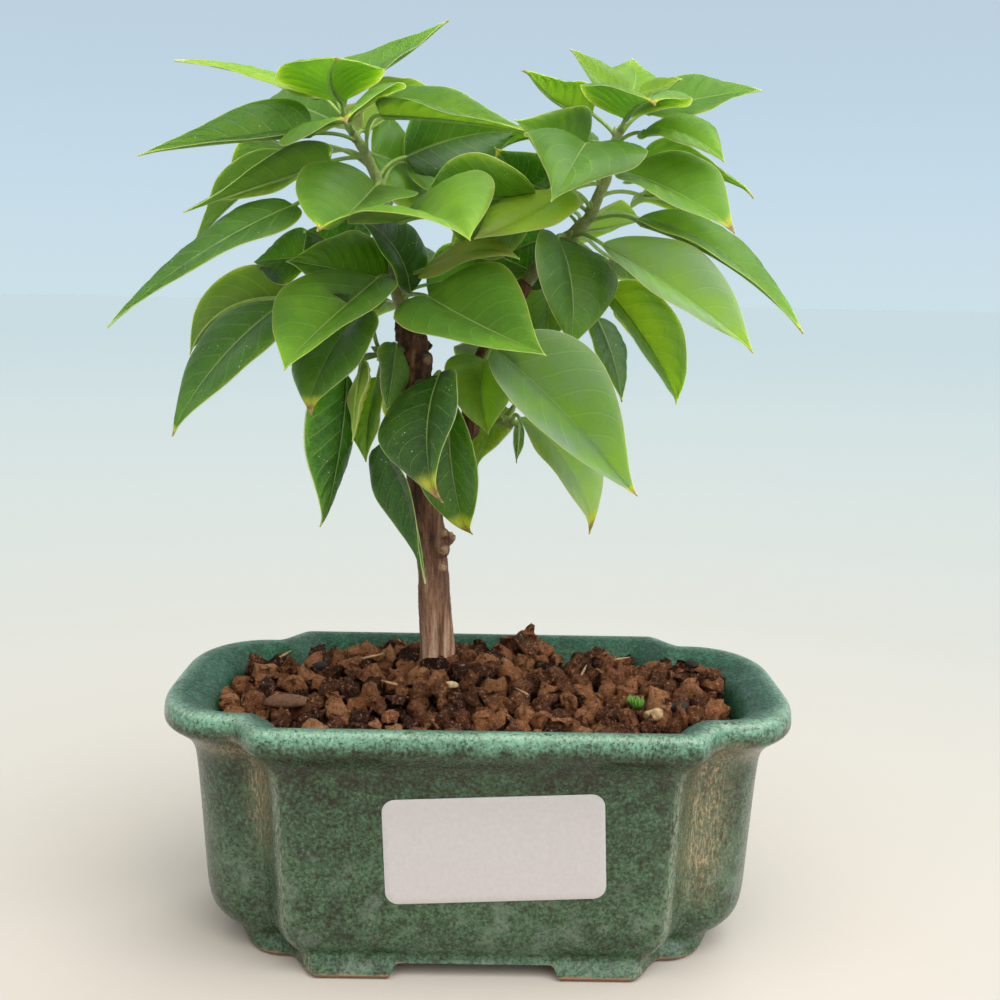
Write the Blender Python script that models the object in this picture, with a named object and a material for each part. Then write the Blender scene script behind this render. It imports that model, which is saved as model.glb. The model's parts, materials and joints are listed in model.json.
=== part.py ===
"""A potted bougainvillea bonsai.

A glazed oblong pot on four corner feet holds drain screens and a bed of clay granules. A woody trunk
stands in the bed and forks once. Green shoots and short leafy sprays grow from it.

Frame: the origin is on the ground under the middle of the whole outline, crown and pot together. +X
runs to the right along the pot's long side, +Y away from its front and +Z up. Sizes are written in
millimetres from the point under the middle of the pot; FRAME_SHIFT and MM take them to the frame.
"""
import math

import bmesh
import bpy
import numpy as np

for old in list(bpy.data.objects):
    bpy.data.objects.remove(old)

MM = 0.001
FRAME_SHIFT = (5.0, -11.2, 0.0)
GAP = 0.35
SEAT_GAP = 0.5

# Pot: half sizes of the lip, the straight run of its front and the step back at each corner.
LIP_HALF_WIDTH = 75.3
LIP_HALF_DEPTH = 50.0
FRONT_HALF_RUN = 48.4
STEP_RUN = 8.0
STEP_BACK = 11.2
CORNER_RX = 18.0
CORNER_RY = 28.5
CORNER_STEPS = 6
CORNER_POWER = 0.9
STEP_STEPS = 4
# How much of an inset the front's run and the corner's two radii lose, and the least end run.
RUN_LOSS = 0.65
RX_LOSS = 0.35
RY_LOSS = 0.75
END_RUN = 4.0
POT_HEIGHT = 61.2
FLOOR_TOP = 9.5
FLOOR_UNDERSIDE = 3.8
FOOT_GAP_HEIGHT = 3.4
FOOT_GAP_HALF_FRONT = 18.0
FOOT_GAP_HALF_END = 9.0
FOOT_GAP_SPREAD = 2.4
DRAIN_X = 28.0
DRAIN_RADIUS = 6.0

# Each level of the pot's skin: height, inset from the lip at the ends, inset at the front and back.
OUTER_LEVELS = (
    (0.0, 19.3, 9.0), (2.6, 17.8, 10.4), (4.2, 16.8, 11.8), (5.2, 15.0, 11.8), (6.8, 12.6, 10.8),
    (9.5, 10.3, 9.6), (14.0, 9.4, 8.8), (22.0, 8.9, 8.4), (46.0, 7.2, 7.0), (49.5, 6.2, 6.2),
    (52.0, 4.7, 4.7), (53.8, 2.6, 2.6), (55.4, 0.7, 0.7), (57.8, 0.0, 0.0), (60.3, 1.1, 1.1),
    (POT_HEIGHT, 3.0, 3.0),
)
INNER_LEVELS = (
    (60.4, 6.5, 6.0), (57.5, 10.5, 9.5), (54.0, 12.6, 11.6), (48.0, 13.4, 12.6), (20.0, 15.5, 14.5),
    (12.0, 18.5, 17.5), (FLOOR_TOP, 22.0, 21.0),
)
FOOT_INNER_LEVELS = ((0.0, 26.5, 16.5), (FLOOR_UNDERSIDE, 28.0, 18.0))

# Drain screens.
SCREEN_SIDE = 22.0
SCREEN_THICKNESS = 1.0
SCREEN_HOLES = 3
SCREEN_HOLE_SIDE = 4.2
SCREEN_PITCH = 6.0

# Soil: height at the wall, rise to the trunk, and the size of its lumps.
SOIL_EDGE_HEIGHT = 51.5
SOIL_MOUND = 6.5
SOIL_MOUND_REACH = (48.0, 32.0)
SOIL_CLEARANCE = 0.7
SOIL_COLUMNS = 30
SOIL_ROW_PITCH = 4.0
LUMP_PITCH = 7.4
LUMP_RADIUS = 4.6
LUMP_HEIGHT = 3.4
LUMP_ROW_RATIO = 0.87
LUMP_SHIFT = 1.5
LUMP_SIZES = (0.75, 1.1)
SOIL_PILE = (13.0, 29.0, 6.5, 9.5)
SOIL_SEED = 7

# Wood: middle line and radius of the stem with its left leader, and of the right limb.
TRUNK_LINE = (
    (-11, 18, 24), (-11, 18, 62), (-12, 17, 77), (-13, 15, 92), (-15, 13, 104), (-15, 12, 114),
    (-16, 11, 124), (-17, 10, 134), (-18, 10, 143), (-20, 10, 151),
)
TRUNK_RADII = (5.0, 5.0, 4.5, 4.4, 4.5, 4.7, 4.4, 4.0, 3.8, 2.9)
LIMB_LINE = ((-15, 12, 108), (-9, 10, 117), (-4, 9, 123), (-1, 8, 134), (1, 8, 142), (5, 9, 151), (10, 9, 159))
LIMB_RADII = (3.2, 3.0, 2.9, 2.8, 2.7, 2.5, 2.2)
STUB_LINE = ((-12, 15, 91), (-7.2, 13.5, 94.5))
STUB_RADII = (2.2, 1.3)
# Knobs and old leaf scars on the bark: place and radius.
KNOBS = (
    (-9.6, 12.4, 90.5, 2.4), (-9.8, 11.6, 95.0, 2.1), (-9.2, 13.2, 85.6, 1.9), (-19.6, 8.6, 128.0, 1.9),
    (-13.4, 8.2, 131.0, 1.8), (-20.2, 8.0, 137.0, 1.9), (-14.6, 7.6, 140.0, 1.8), (-21.0, 9.0, 145.0, 1.7),
    (-19.0, 13.4, 134.0, 1.8), (-15.0, 13.2, 143.0, 1.7), (4.6, 9.4, 147.5, 1.6), (-2.8, 6.4, 129.0, 1.6),
)
HOLE_RADIUS = 5.45

# Green stems: the line each one follows from its seat on the wood, and its radius at both ends.
LEFT_SHOOT_LINE = (
    (-22, 10, 157), (-24, 10, 169), (-26, 10, 180), (-28, 10, 185), (-31, 10, 191), (-35, 9, 197),
)
RIGHT_SHOOT_LINE = (
    (15, 9, 166), (20, 8, 170), (25, 8, 175), (27, 8, 180), (29, 8, 185), (30, 9, 191), (33, 9, 198),
)

# Leaves. Each row: how far along its stem the stalk leaves it (0 to 1), where the blade begins, its tip,
# its full width, the way its upper side faces, how far the midrib bows up, and the fold of each half.
LEFT_LEAVES = (
    (0.98, (-36, 6, 200), (-34, -26, 207), 25, (0, 0.1, 1), 2.5, 8),
    (0.99, (-34, 14, 203), (-11, 30, 225), 20, (-0.5, -0.2, 0.85), 1, 10),
    (0.97, (-42, 8, 201), (-74, -2, 209), 18, (0, 0, 1), 0, 10),
    (0.91, (-38, 18, 198), (-61, 48, 208), 24, (-0.2, 0.5, 0.9), 2, 10),
    (0.87, (-41, 2, 193), (-82, -8, 186), 19, (0, -0.65, 0.75), 1, 30),
    (0.92, (-33, 2, 194), (-31, -34, 193), 32, (-0.42, 0, 0.9), 2, 0),
    (0.79, (-27, 2, 197), (11, -4, 194), 22, (0.1, -0.6, 0.8), 1, 30),
    (0.85, (-30, 18, 197), (-17, 48, 214), 24, (-0.2, -0.6, 0.75), 2, 10),
    (0.66, (-22, 18, 189), (7, 34, 198), 26, (0.1, -0.6, 0.8), 1, 15),
    (0.69, (-26, 20, 188), (-10, 36, 175), 26, (0.1, 0.8, 0.6), 3, 10),
    (0.78, (-38, 8, 189), (-71, -10, 174), 21, (0, -0.6, 0.8), 1.5, 10),
    (0.74, (-44, 24, 191), (-73, 26, 169), 28, (-0.2, -0.8, 0.5), 2, 10),
    (0.63, (-28, -4, 182), (-37, -34, 170), 31, (-0.35, -0.4, 0.85), 5, 0),
    (0.59, (-40, -4, 174), (-85, -24, 147), 22, (-0.2, -0.5, 0.85), 3.5, 10),
    (0.53, (-15, -4, 178), (-3, -40, 167), 35, (-0.05, -0.35, 0.93), 4, 5),
    (0.21, (-21, 18, 159), (-35, 26, 172), 28, (0, -0.7, 0.7), 3, 10),
    (0.19, (-36, 20, 166), (-59, 22, 163), 25, (0, -0.95, 0.25), 1, 10),
    (0.16, (-27, 8, 162), (-48, -2, 163), 26, (0, -0.5, 0.85), 4, 15),
    (0.11, (-46, 10, 159), (-71, 0, 140), 27, (-0.2, 0.55, 0.8), 4, 10),
    (0.09, (-47, 0, 154), (-73, -14, 122), 25, (-0.35, -0.45, 0.8), 2.5, 10),
    (0.11, (-26, -4, 156), (-44, -34, 138), 27, (-0.1, -0.65, 0.75), 3, 0),
    (0.11, (-14, 4, 162), (7, -14, 163), 20, (0, -0.55, 0.83), 3, 5),
    (0.05, (-17, -6, 156), (14, -32, 143), 27, (0, -0.7, 0.7), 3, 0),
    (0.05, (-28, 32, 154), (-52, 58, 135), 24, (-0.2, 0.6, 0.75), 4, 10),
    (0.05, (-15, 35, 154), (9, 66, 143), 25, (0.1, 0.6, 0.75), 4, 10),
    (0.09, (-43, 44, 153), (-76, 62, 138), 24, (-0.2, 0.6, 0.75), 4, 10),
    (0.77, (-47, 36, 190), (-74, 62, 183), 22, (-0.2, 0.5, 0.8), 4, 10),
    (0.37, (-21, 46, 182), (-5, 72, 186), 22, (0.1, 0.5, 0.8), 3, 10),
    (0.14, (-30, 36, 164), (-52, 64, 165), 22, (-0.1, 0.5, 0.8), 3, 10),
    (0.19, (-23, 40, 162), (-26, 72, 168), 22, (0, 0.5, 0.8), 3, 10),
    (0.80, (-25, 30, 202), (-6, 58, 206), 14, (0.1, 0.3, 0.9), 1, 10),
)
RIGHT_LEAVES = (
    (0.65, (10, 4, 188), (-3, 13, 178), 22, (-0.2, -0.6, 0.75), 4, 10),
    (0.48, (17, 12, 182), (1, 9, 191), 22, (0.1, -0.9, 0.45), 3, 10),
    (0.62, (22, 24, 188), (4, 38, 194), 26, (-0.1, -0.9, 0.4), 3, 10),
    (0.50, (22, 2, 179), (-3, -14, 169), 24, (0, -0.35, 0.93), 4, 15),
    (0.32, (19, 4, 170), (22, -8, 146), 20, (0, -0.85, 0.5), 3, 10),
    (0.32, (27, -4, 169), (61, -20, 144), 24, (-0.1, -0.5, 0.85), 4.5, 5),
    (0.31, (30, 14, 160), (49, 10, 130), 21, (0.3, -0.8, 0.5), 5, 15),
    (0.42, (37, 0, 174), (75, -10, 148), 20, (0, -0.35, 0.93), 4.5, 10),
    (0.43, (29, 22, 175), (42, 50, 182), 24, (0, 0.3, 0.95), 2, 10),
    (0.68, (33, 0, 185), (57, -18, 172), 27, (-0.05, -0.5, 0.85), 3, 10),
    (0.58, (38, 14, 181), (54, 20, 174), 24, (0.1, 0.3, 0.95), 3, 10),
    (0.77, (25, -4, 189), (14, -34, 176), 28, (0.1, -0.35, 0.93), 4, 15),
    (0.79, (26, 8, 193), (6, -10, 196), 19, (0.3, -0.7, 0.6), 0, 10),
    (0.90, (27, 10, 201), (8, 2, 209), 18, (0.1, -0.5, 0.85), -1, 15),
    (0.97, (34, 12, 205), (20, 6, 215), 11, (0.5, -0.8, 0.3), 0, 10),
    (0.99, (36, 16, 206), (36, 28, 216), 16, (0, -0.8, 0.6), 1, 10),
    (0.99, (37, 6, 205), (45, -4, 207), 7, (0, -0.9, 0.45), 0, 10),
    (0.93, (33, 4, 199), (36, -32, 198), 27, (0.12, 0, 1), 0, 22),
    (0.87, (41, 12, 203), (66, 6, 206), 19, (0, -0.75, 0.65), 0, 10),
    (0.86, (38, 4, 195), (54, -14, 187), 19, (0, -0.4, 0.9), 2, 10),
    (0.83, (38, 18, 192), (67, 16, 181), 20, (0.1, -0.4, 0.9), 3, 10),
    (0.31, (33, 34, 166), (66, 56, 151), 22, (0.1, 0.6, 0.75), 4, 10),
    (0.24, (23, 36, 167), (28, 62, 148), 20, (0.1, 0.7, 0.6), 4, 10),
    (0.69, (40, 36, 186), (62, 66, 186), 20, (0.1, 0.5, 0.8), 3, 10),
    (0.38, (19, 36, 179), (7, 68, 184), 22, (-0.1, 0.5, 0.8), 3, 10),
    (0.43, (43, 38, 176), (66, 54, 171), 14, (0.1, 0.4, 0.9), 3, 10),
    (0.30, (36, 30, 155), (50, 40, 136), 14, (0.3, 0.7, 0.5), 3, 10),
)

# Short spurs on the old wood: limb they sit on, how far along it, the way they point, length, leaves.
SPURS = {
    "spray_low_left": ("trunk", 0.93, (-0.85, -0.5, 0.1), 5.0, (
        (0.90, (-29, 1, 148), (-41, -9, 127), 26, (-0.1, -0.95, 0.3), 3, 10),
        (0.70, (-36, 4, 138), (-40, 2, 98), 15, (0.2, -0.95, 0.1), 0, 10),
        (0.95, (-27, -4, 139), (-31, -12, 121), 15, (0.75, 0.6, 0.2), 3, 10),
        (0.60, (-27, 10, 139), (-30, 8, 113), 16, (-0.75, -0.6, 0.1), 3, 15),
        (0.95, (-21, 0, 143), (-24, -8, 128), 14, (0, -0.95, 0.3), 3, 10),
    )),
    "spray_low_front": ("trunk", 0.86, (0.25, -1.0, 0.1), 5.5, (
        (0.90, (-10, -12, 139), (-10, -25, 109), 25, (-0.35, -0.9, 0.2), 3, 15),
        (0.60, (-20, 0, 121), (-14, -6, 87), 20, (-0.75, -0.6, 0.1), 3, 15),
    )),
    "spray_low_back": ("trunk", 0.83, (-0.1, 1.0, 0.2), 6.0, (
        (0.90, (-18, 34, 131), (-18, 48, 107), 20, (0, 0.8, 0.5), 3, 10),
        (0.80, (-7, 28, 124), (-8, 40, 101), 15, (0.1, 0.8, 0.5), 3, 10),
    )),
    "spray_limb_front": ("limb", 0.70, (0.1, -1.0, 0.2), 5.0, (
        (0.88, (-2, 0, 144), (2, -6, 123), 17, (0, -0.9, 0.4), 4, 15),
        (0.95, (3, -8, 143), (36, -26, 110), 25, (0.3, -0.75, 0.6), 2, 5),
    )),
    "spray_limb_back": ("limb", 0.72, (0.2, 1.0, 0.2), 6.0, (
        (0.98, (23, 22, 148), (34, 18, 129), 15, (0.3, -0.95, 0.2), 2, 10),
        (0.95, (6, 32, 138), (33, 48, 111), 22, (0.2, 0.7, 0.6), 3, 10),
        (0.90, (0, 34, 143), (1, 60, 126), 18, (0, 0.7, 0.7), 3, 10),
    )),
    "spray_limb_low": ("limb", 0.40, (1.0, -0.3, 0.5), 8.0, (
        (0.45, (-2, 0, 128), (-4, -11, 98), 19, (0.1, -0.97, 0.2), 3, 15),
        (0.62, (6, 17, 125), (0, 20, 108), 15, (0, -0.95, 0.3), 3, 10),
        (0.92, (8, 9, 124), (8, 7, 113), 7, (0, -1, 0.1), 1, 10),
        (0.78, (13, -2, 125), (26, -10, 100), 17, (-0.2, -0.9, 0.3), 1, 10),
    )),
}
BLADE_STEPS = 6
BLADE_THICKNESS = 0.75
STALK_RADIUS = 0.85
EDGE_WAVE = 0.5

# Label: size, corner radius, thickness, centre along X and Z, and its tilt on the pot's face.
LABEL_WIDTH = 50.0
LABEL_HEIGHT = 25.0
LABEL_CORNER = 3.0
LABEL_THICKNESS = 0.3
LABEL_CENTRE = (4.1, 32.3)
LABEL_TILT = math.radians(2.6)


def material(name, colour, roughness, metallic=0.0):
    """A Principled material of one colour."""
    shade = bpy.data.materials.new(name)
    shade.use_nodes = True
    principled = shade.node_tree.nodes["Principled BSDF"]
    principled.inputs["Base Color"].default_value = (*colour, 1.0)
    principled.inputs["Roughness"].default_value = roughness
    principled.inputs["Metallic"].default_value = metallic
    return shade


def make_object(name, points, faces, shade=None):
    """An object from points in millimetres and faces, with its faces turned outward."""
    mesh = bpy.data.meshes.new(name)
    placed = (np.array(points, float) + FRAME_SHIFT) * MM
    mesh.from_pydata(placed.tolist(), [], faces)
    work = bmesh.new()
    work.from_mesh(mesh)
    bmesh.ops.recalc_face_normals(work, faces=work.faces)
    work.to_mesh(mesh)
    work.free()
    thing = bpy.data.objects.new(name, mesh)
    bpy.context.scene.collection.objects.link(thing)
    if shade:
        mesh.materials.append(shade)
    return thing


def loft(rings):
    """Points and faces of a closed skin through rings that have equal numbers of points."""
    count = len(rings[0])
    points = [point for ring in rings for point in ring]
    faces = []
    for level in range(len(rings) - 1):
        for i in range(count):
            a = level * count + i
            b = level * count + (i + 1) % count
            faces.append((a, b, b + count, a + count))
    faces.append(tuple(range(count)))
    faces.append(tuple(range((len(rings) - 1) * count, len(rings) * count)))
    return points, faces


def combine(target, others, operation="UNION", solver="EXACT"):
    """Join or cut target with the other objects by one Boolean, apply it and remove them."""
    group = bpy.data.collections.new("group")
    bpy.context.scene.collection.children.link(group)
    for other in others:
        bpy.context.scene.collection.objects.unlink(other)
        group.objects.link(other)
    boolean = target.modifiers.new("combine", "BOOLEAN")
    boolean.operation = operation
    boolean.solver = solver
    boolean.operand_type = "COLLECTION"
    boolean.collection = group
    view = bpy.context.evaluated_depsgraph_get()
    result = bpy.data.meshes.new_from_object(target.evaluated_get(view))
    target.modifiers.clear()
    target.data = result
    for other in others:
        bpy.data.objects.remove(other)
    bpy.data.collections.remove(group)
    return target


def keep_main_skin(thing):
    """Keep only the largest connected skin: fills small sealed hollows and drops loose scraps."""
    work = bmesh.new()
    work.from_mesh(thing.data)
    seen = set()
    skins = []
    for first in work.verts:
        if first in seen:
            continue
        seen.add(first)
        skin = [first]
        for vertex in skin:
            for edge in vertex.link_edges:
                other = edge.other_vert(vertex)
                if other not in seen:
                    seen.add(other)
                    skin.append(other)
        skins.append(skin)
    skins.sort(key=len)
    scraps = [vertex for skin in skins[:-1] for vertex in skin]
    bmesh.ops.delete(work, geom=scraps, context="VERTS")
    work.to_mesh(thing.data)
    work.free()
    return thing


def point_along(line, fraction):
    """The point at a fraction of a line's length."""
    line = np.array(line, float)
    lengths = np.linalg.norm(np.diff(line, axis=0), axis=1)
    target = fraction * lengths.sum()
    for start, end, length in zip(line, line[1:], lengths):
        if target <= length:
            return start + (end - start) * target / length
        target -= length
    return line[-1]


def tube(line, radii, sides):
    """Points and faces of a closed round bar along a line."""
    line = np.array(line, float)
    rings = []
    for i, centre in enumerate(line):
        along = line[min(i + 1, len(line) - 1)] - line[max(i - 1, 0)]
        along /= np.linalg.norm(along)
        side = np.cross(along, (0.0, 1.0, 0.2))
        side /= np.linalg.norm(side)
        other = np.cross(along, side)
        turn = np.arange(sides) * 2 * math.pi / sides
        rings.append(centre + radii[i] * (np.outer(np.cos(turn), side) + np.outer(np.sin(turn), other)))
    return loft(rings)


def pot_outline(end_inset, front_inset):
    """The pot's plan at an inset from the lip, as points counterclockwise from the right end."""
    half_width = LIP_HALF_WIDTH - end_inset
    half_depth = LIP_HALF_DEPTH - front_inset
    run = FRONT_HALF_RUN - RUN_LOSS * end_inset
    rx = CORNER_RX - RX_LOSS * end_inset
    ry = min(CORNER_RY - RY_LOSS * front_inset, half_depth - STEP_BACK - END_RUN)
    quarter = []
    for i in range(CORNER_STEPS + 1):
        turn = math.pi / 2 * i / CORNER_STEPS
        quarter.append((
            half_width - rx + rx * math.cos(turn) ** CORNER_POWER,
            half_depth - STEP_BACK - ry + ry * math.sin(turn) ** CORNER_POWER,
        ))
    for i in range(STEP_STEPS + 1):
        t = 1 - i / STEP_STEPS
        quarter.append((run + STEP_RUN * t, half_depth - STEP_BACK * t * t * (3 - 2 * t)))
    left = [(-x, y) for x, y in reversed(quarter)]
    top = quarter + left
    return top + [(x, -y) for x, y in reversed(top)]


def pot_ring(level):
    """The pot's plan at a level, in three dimensions."""
    height, end_inset, front_inset = level
    return [(x, y, height) for x, y in pot_outline(end_inset, front_inset)]


def prism(outline, bottom, top):
    """Points and faces of an upright prism."""
    return loft([[(x, y, bottom) for x, y in outline], [(x, y, top) for x, y in outline]])


def circle(x, y, radius, sides):
    """Points of a circle in plan."""
    turns = [2 * math.pi * i / sides for i in range(sides)]
    return [(x + radius * math.cos(t), y + radius * math.sin(t)) for t in turns]


def foot_cutter(half_gap, reach, along_x):
    """A wedge with sloping ends that opens the foot ring between two feet."""
    wide, below = half_gap + FOOT_GAP_SPREAD, -1.0
    profile = ((-wide, below), (wide, below), (half_gap, FOOT_GAP_HEIGHT), (-half_gap, FOOT_GAP_HEIGHT))
    if along_x:
        rings = [[(across, y, z) for across, z in profile] for y in (-reach, reach)]
    else:
        rings = [[(x, across, z) for across, z in profile] for x in (-reach, reach)]
    return make_object("cutter", *loft(rings))


def build_pot():
    """Glazed body: one skin from the foot ring up over the lip and down to the floor inside."""
    levels = FOOT_INNER_LEVELS[::-1] + OUTER_LEVELS + INNER_LEVELS
    glaze = material("green_glaze", (0.10, 0.20, 0.14), 0.25)
    pot = make_object("pot", *loft([pot_ring(level) for level in levels]), glaze)
    cutters = [
        foot_cutter(FOOT_GAP_HALF_FRONT, LIP_HALF_DEPTH, True),
        foot_cutter(FOOT_GAP_HALF_END, LIP_HALF_WIDTH, False),
    ]
    for x in (-DRAIN_X, DRAIN_X):
        cutters.append(make_object("cutter", *prism(circle(x, 0, DRAIN_RADIUS, 20), 0.0, FLOOR_TOP + 5)))
    return combine(pot, cutters, "DIFFERENCE")


def build_screen(name, x):
    """Plastic screen: a thin square plate with a grid of square holes, flat on the pot's floor."""
    half = SCREEN_SIDE / 2
    bottom = FLOOR_TOP + GAP
    square = [(x - half, -half), (x + half, -half), (x + half, half), (x - half, half)]
    plastic = material("black_plastic", (0.03, 0.03, 0.03), 0.6)
    screen = make_object(name, *prism(square, bottom, bottom + SCREEN_THICKNESS), plastic)
    cutters = []
    for row in range(SCREEN_HOLES):
        for column in range(SCREEN_HOLES):
            u = x + (column - (SCREEN_HOLES - 1) / 2) * SCREEN_PITCH
            v = (row - (SCREEN_HOLES - 1) / 2) * SCREEN_PITCH
            h = SCREEN_HOLE_SIDE / 2
            hole = [(u - h, v - h), (u + h, v - h), (u + h, v + h), (u - h, v + h)]
            cutters.append(make_object("cutter", *prism(hole, bottom - 1, bottom + SCREEN_THICKNESS + 1)))
    return combine(screen, cutters, "DIFFERENCE")


def lump_centres():
    """Middles of the soil's lumps: a staggered grid, each moved a little by a seeded draw."""
    draw = np.random.default_rng(SOIL_SEED)
    centres = []
    row_pitch = LUMP_PITCH * LUMP_ROW_RATIO
    last_row = math.ceil(LIP_HALF_DEPTH / LUMP_PITCH)
    last_column = math.ceil(LIP_HALF_WIDTH / LUMP_PITCH) - 1
    for row in range(-last_row, last_row + 1):
        for column in range(-last_column, last_column + 1):
            shift = draw.uniform(-LUMP_SHIFT, LUMP_SHIFT, 2)
            size = draw.uniform(*LUMP_SIZES)
            x = (column + 0.5 * (row % 2)) * LUMP_PITCH + shift[0]
            centres.append((x, row * row_pitch + shift[1], size))
    return np.array(centres)


def soil_height(x, y, centres):
    """Height of the soil: a low mound round the trunk with rounded lumps all over it."""
    trunk_x, trunk_y = TRUNK_LINE[1][:2]
    away = math.hypot((x - trunk_x) / SOIL_MOUND_REACH[0], (y - trunk_y) / SOIL_MOUND_REACH[1])
    height = SOIL_EDGE_HEIGHT + SOIL_MOUND * math.exp(-away ** 2)
    distance = np.hypot(centres[:, 0] - x, centres[:, 1] - y)
    radius = LUMP_RADIUS * centres[:, 2]
    caps = np.sqrt(np.clip(1 - (distance / radius) ** 2, 0, None)) * LUMP_HEIGHT * centres[:, 2]
    pile_x, pile_y, pile_height, pile_radius = SOIL_PILE
    pile = pile_height * max(0.0, 1 - math.hypot(x - pile_x, y - pile_y) / pile_radius)
    return height + float(caps.max()) + pile


def same_place(point, outline, other):
    """The place on another outline that matches a point's nearest place on the first one."""
    best = None
    for i, start in enumerate(outline):
        j = (i + 1) % len(outline)
        edge = outline[j] - start
        share = min(max((point - start) @ edge / (edge @ edge), 0.0), 1.0)
        miss = np.linalg.norm(start + share * edge - point)
        if best is None or miss < best[0]:
            best = (miss, other[i] + share * (other[j] - other[i]))
    return best[1]


def build_soil():
    """Granular bed: a relief of lumps on top, and sides that follow the pot's wall with a small gap."""
    centres = lump_centres()
    side_levels = [
        (height + GAP, end + SOIL_CLEARANCE, front + SOIL_CLEARANCE) for height, end, front in INNER_LEVELS[3:]
    ]
    outline = np.array(pot_outline(*side_levels[0][1:]))
    right = outline[(outline[:, 0] >= 0) & (outline[:, 1] >= 0)]
    marks = np.unique(np.concatenate([right[:, 1], -right[:, 1]]))
    rows = [marks[0]]
    for mark in marks[1:]:
        steps = max(1, round((mark - rows[-1]) / SOIL_ROW_PITCH))
        rows += list(np.linspace(rows[-1], mark, steps + 1)[1:])
    grid = []
    for y in rows:
        half_width = np.interp(abs(y), right[:, 1], right[:, 0])
        spread = np.linspace(-1, 1, SOIL_COLUMNS + 1) * half_width
        grid.append([(x, y) for x in spread])
    points = [(x, y, soil_height(x, y, centres)) for row in grid for x, y in row]
    wide = SOIL_COLUMNS + 1
    faces = []
    for r in range(len(rows) - 1):
        for c in range(SOIL_COLUMNS):
            a = r * wide + c
            faces.append((a, a + 1, a + wide + 1, a + wide))
    rim = list(range(SOIL_COLUMNS))
    rim += [r * wide + SOIL_COLUMNS for r in range(len(rows) - 1)]
    rim += [(len(rows) - 1) * wide + c for c in range(SOIL_COLUMNS, 0, -1)]
    rim += [r * wide for r in range(len(rows) - 1, 0, -1)]
    previous = rim
    for height, end, front in side_levels:
        start = len(points)
        lower = np.array(pot_outline(end, front))
        for index in rim:
            points.append((*same_place(np.array(points[index][:2]), outline, lower), height))
        level = list(range(start, start + len(rim)))
        for i in range(len(rim)):
            j = (i + 1) % len(rim)
            faces.append((previous[i], previous[j], level[j], level[i]))
        previous = level
    faces.append(tuple(previous))
    soil = make_object("soil", points, faces, material("clay_granules", (0.16, 0.07, 0.04), 0.95))
    trunk_x, trunk_y, trunk_foot = TRUNK_LINE[0]
    cutters = [make_object("cutter", *prism(circle(trunk_x, trunk_y, HOLE_RADIUS, 16), trunk_foot - GAP, 80))]
    half = SCREEN_SIDE / 2 + GAP
    pocket_top = FLOOR_TOP + SCREEN_THICKNESS + 2 * GAP
    for x in (-DRAIN_X, DRAIN_X):
        square = [(x - half, -half), (x + half, -half), (x + half, half), (x - half, half)]
        cutters.append(make_object("cutter", *prism(square, FLOOR_TOP - 5, pocket_top)))
    return combine(soil, cutters, "DIFFERENCE")


def build_trunk():
    """Old wood: the stem and its leader, the right limb, a cut stub and knobs, grown together."""
    bark = material("bark", (0.16, 0.09, 0.06), 0.85)
    trunk = make_object("trunk", *tube(TRUNK_LINE, TRUNK_RADII, 12), bark)
    limb = make_object("limb", *tube(LIMB_LINE, LIMB_RADII, 10), bark)
    stub = make_object("stub", *tube(STUB_LINE, STUB_RADII, 8), bark)
    knobs = []
    for x, y, z, radius in KNOBS:
        work = bmesh.new()
        bmesh.ops.create_icosphere(work, subdivisions=1, radius=radius)
        points = [(v.co.x + x, v.co.y + y, v.co.z + z) for v in work.verts]
        faces = [tuple(v.index for v in face.verts) for face in work.faces]
        work.free()
        knobs.append(make_object("knob", points, faces, bark))
    return combine(trunk, [limb, stub] + knobs)


def blade_profile(t):
    """Half width of an egg-shaped leaf with a drawn-out tip, as a share of its widest."""
    return math.sin(math.pi * min(t, 1.0) ** 0.72) ** (0.85 + 0.5 * t)


def leaf(root, base, tip, width, facing, bow, fold, phase):
    """One leaf as a closed solid: a stalk from its root, then a bowed, folded, gently waved blade."""
    root, base, tip = (np.array(p, float) for p in (root, base, tip))
    chord = tip - base
    along = chord / np.linalg.norm(chord)
    normal = np.array(facing, float)
    normal -= along * (normal @ along)
    normal /= np.linalg.norm(normal)
    side = np.cross(along, normal)
    thick = BLADE_THICKNESS / 2
    slope = math.radians(fold)
    stalk = STALK_RADIUS
    rings = []
    for centre in (root, base):
        rings.append([
            centre - stalk * side + 0.4 * stalk * normal, centre + stalk * normal,
            centre + stalk * side + 0.4 * stalk * normal, centre + stalk * side - 0.4 * stalk * normal,
            centre - stalk * normal, centre - stalk * side - 0.4 * stalk * normal,
        ])
    for i in range(1, BLADE_STEPS + 1):
        t = i / BLADE_STEPS
        rib = base + chord * t + normal * (4 * bow * t * (1 - t))
        run = chord + normal * (4 * bow * (1 - 2 * t))
        up = np.cross(side, run)
        up /= np.linalg.norm(up)
        if up @ normal < 0:
            up = -up
        half = max(width / 2 * blade_profile(t), 0.45)
        wave = EDGE_WAVE * math.sin(7 * t + phase) * blade_profile(t)
        lift = half * math.sin(slope)
        left = rib - side * half * math.cos(slope) + up * (lift + wave)
        right = rib + side * half * math.cos(slope) + up * (lift - wave)
        rings.append([left + thick * up, rib + thick * up, right + thick * up,
                      right - thick * up, rib - thick * up, left - thick * up])
    faces = []
    for level in range(len(rings) - 1):
        for i in range(6):
            a, b = level * 6 + i, level * 6 + (i + 1) % 6
            if i in (0, 4):
                faces += [(a, b, b + 6), (a, b + 6, a + 6)]
            else:
                faces += [(a, b, a + 6), (b, b + 6, a + 6)]
    last = (len(rings) - 1) * 6
    for k in (0, last):
        faces += [(k, k + 1, k + 4), (k, k + 4, k + 5), (k + 1, k + 2, k + 3), (k + 1, k + 3, k + 4)]
    return make_object("leaf", [p for ring in rings for p in ring], faces)


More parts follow.
